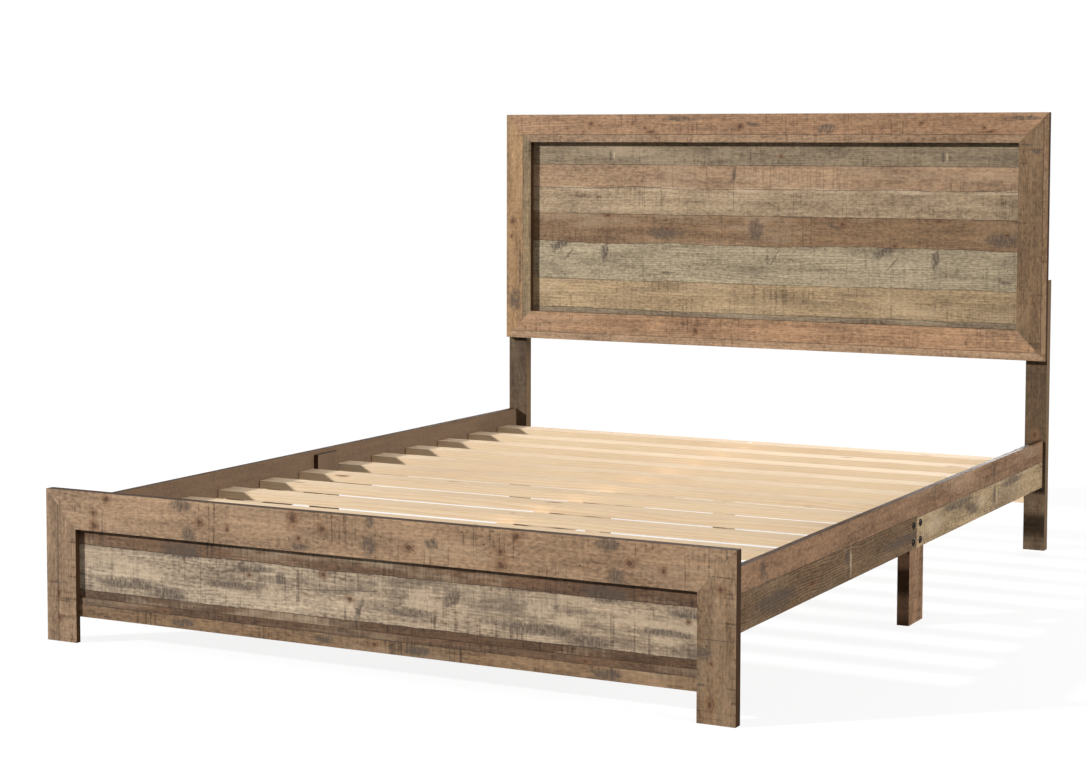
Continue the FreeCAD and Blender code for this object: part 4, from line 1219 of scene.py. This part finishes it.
class BED_OT_stage(BedOperator, bpy.types.Operator):
    """The camera, the pale floor and the soft studio light"""

    bl_idname = "bed.stage"
    bl_label = "Stage"

    def execute(self, context):
        settings = context.scene.bed_stage
        self.make_camera(context, settings)
        self.make_floor(context, settings)
        self.make_lights(context, settings)
        context.scene.view_settings.view_transform = "Standard"
        return {"FINISHED"}

    def make_camera(self, context, settings):
        data = bpy.data.cameras.new("camera")
        data.lens = settings.lens
        data.shift_y = settings.shift
        ahead = Vector((-math.sin(settings.yaw) * math.cos(settings.pitch),
                        math.cos(settings.yaw) * math.cos(settings.pitch), -math.sin(settings.pitch)))
        side = Vector((math.cos(settings.yaw), math.sin(settings.yaw), 0))
        up = side.cross(ahead)
        side, up = (side * math.cos(settings.roll) + up * math.sin(settings.roll),
                    up * math.cos(settings.roll) - side * math.sin(settings.roll))
        camera = bpy.data.objects.new("camera", data)
        turn = Matrix((side, up, -ahead)).transposed().to_4x4()
        camera.matrix_world = Matrix.Translation(settings.camera_place) @ turn
        context.scene.collection.objects.link(camera)
        context.scene.camera = camera

    def make_floor(self, context, settings):
        shape = bmesh.new()
        bmesh.ops.create_circle(shape, cap_ends=True, segments=FLOOR_SIDES,
                                radius=settings.floor_radius)
        made, tree, shader = new_material("studio_floor", 0.85)
        tone = noise(tree, object_place(tree), (3, 3, 3), 2.0)
        colour = mix(tree, tone, dimmed(settings.floor_colour, 0.985), settings.floor_colour)
        seen = add(tree, "ShaderNodeLightPath").outputs["Is Camera Ray"]
        colour = mix(tree, seen, dimmed(settings.floor_colour, settings.floor_bounce), colour)
        tree.links.new(colour, shader.inputs["Base Color"])
        place = object_place(tree)
        away = vector_calc(tree, "LENGTH", place).outputs["Value"]
        shown = ramp_between(tree, away, settings.floor_radius * 0.95, settings.floor_clear)
        glow = add(tree, "ShaderNodeEmission", {}, {"Color": (1, 1, 1, 1), "Strength": 1.0}).outputs[0]
        lifted = product(tree, seen, settings.floor_glow)
        pale = add(tree, "ShaderNodeMixShader", {}, {0: lifted, 1: shader.outputs[0], 2: glow})
        clear = add(tree, "ShaderNodeBsdfTransparent").outputs[0]
        both = add(tree, "ShaderNodeMixShader", {}, {0: shown, 1: clear, 2: pale.outputs[0]})
        tree.links.new(both.outputs[0], tree.nodes["Material Output"].inputs["Surface"])
        floor = bpy.data.objects.new("studio_floor", to_mesh(shape, "studio_floor", (made,)))
        context.scene.collection.objects.link(floor)

    def make_lights(self, context, settings):
        world = bpy.data.worlds.new("studio")
        context.scene.world = world
        world.use_nodes = True
        tree = world.node_tree
        seen = add(tree, "ShaderNodeLightPath").outputs["Is Camera Ray"]
        lit = ramp_between(tree, seen, 0.0, 1.0, smooth=False)
        strength = scaled(tree, lit, 1.0 - settings.surround, settings.surround)
        background = tree.nodes["Background"]
        background.inputs["Color"].default_value = (1, 1, 1, 1)
        tree.links.new(strength, background.inputs["Strength"])
        self.add_sun(context, "key_light", settings.key_strength, settings.key_softness, KEY_FROM)
        self.add_sun(context, "fill_light", settings.fill_strength, settings.soft_width, FILL_FROM)
        self.add_sun(context, "back_light", settings.back_strength, settings.soft_width, BACK_FROM)

    def add_sun(self, context, name, strength, softness, source):
        data = bpy.data.lights.new(name, "SUN")
        data.energy = strength
        data.angle = softness
        light = bpy.data.objects.new(name, data)
        light.rotation_mode = "QUATERNION"
        light.rotation_quaternion = Vector(source).to_track_quat("Z", "Y")
        context.scene.collection.objects.link(light)


OPERATORS = (
    BED_OT_headboard_frame, BED_OT_headboard_panel, BED_OT_headboard_legs, BED_OT_footboard_frame,
    BED_OT_footboard_panel, BED_OT_side_rails, BED_OT_centre_legs, BED_OT_slat_deck, BED_OT_bolts,
    BED_OT_screws, BED_OT_levelling_feet, BED_OT_stage,
)
SETTINGS = {
    "bed_plank_colours": BedPlankColours,
    "bed_board_sizes": BedBoardSizes,
    "bed_hardware_sizes": BedHardwareSizes,
    "bed_stage": BedStageSettings,
}


class BED_PT_pieces(bpy.types.Panel):
    """Lists the bed's pieces and their settings"""

    bl_idname = "BED_PT_pieces"
    bl_label = "Plank Bed Frame"
    bl_space_type = "VIEW_3D"
    bl_region_type = "UI"
    bl_category = "Bed"

    def draw(self, context):
        for operator in OPERATORS:
            self.layout.operator(operator.bl_idname)
        for name, kind in SETTINGS.items():
            box = self.layout.box()
            group = getattr(context.scene, name)
            for setting in kind.__annotations__:
                box.prop(group, setting)


def register():
    for kind in (*SETTINGS.values(), *OPERATORS, BED_PT_pieces):
        bpy.utils.register_class(kind)
    for name, kind in SETTINGS.items():
        setattr(bpy.types.Scene, name, PointerProperty(type=kind))


def unregister():
    for name in SETTINGS:
        delattr(bpy.types.Scene, name)
    for kind in reversed((*SETTINGS.values(), *OPERATORS, BED_PT_pieces)):
        bpy.utils.unregister_class(kind)


def main():
    register()
    for operator in OPERATORS:
        family, name = operator.bl_idname.split(".")
        getattr(getattr(bpy.ops, family), name)()


if __name__ == "__main__":
    main()
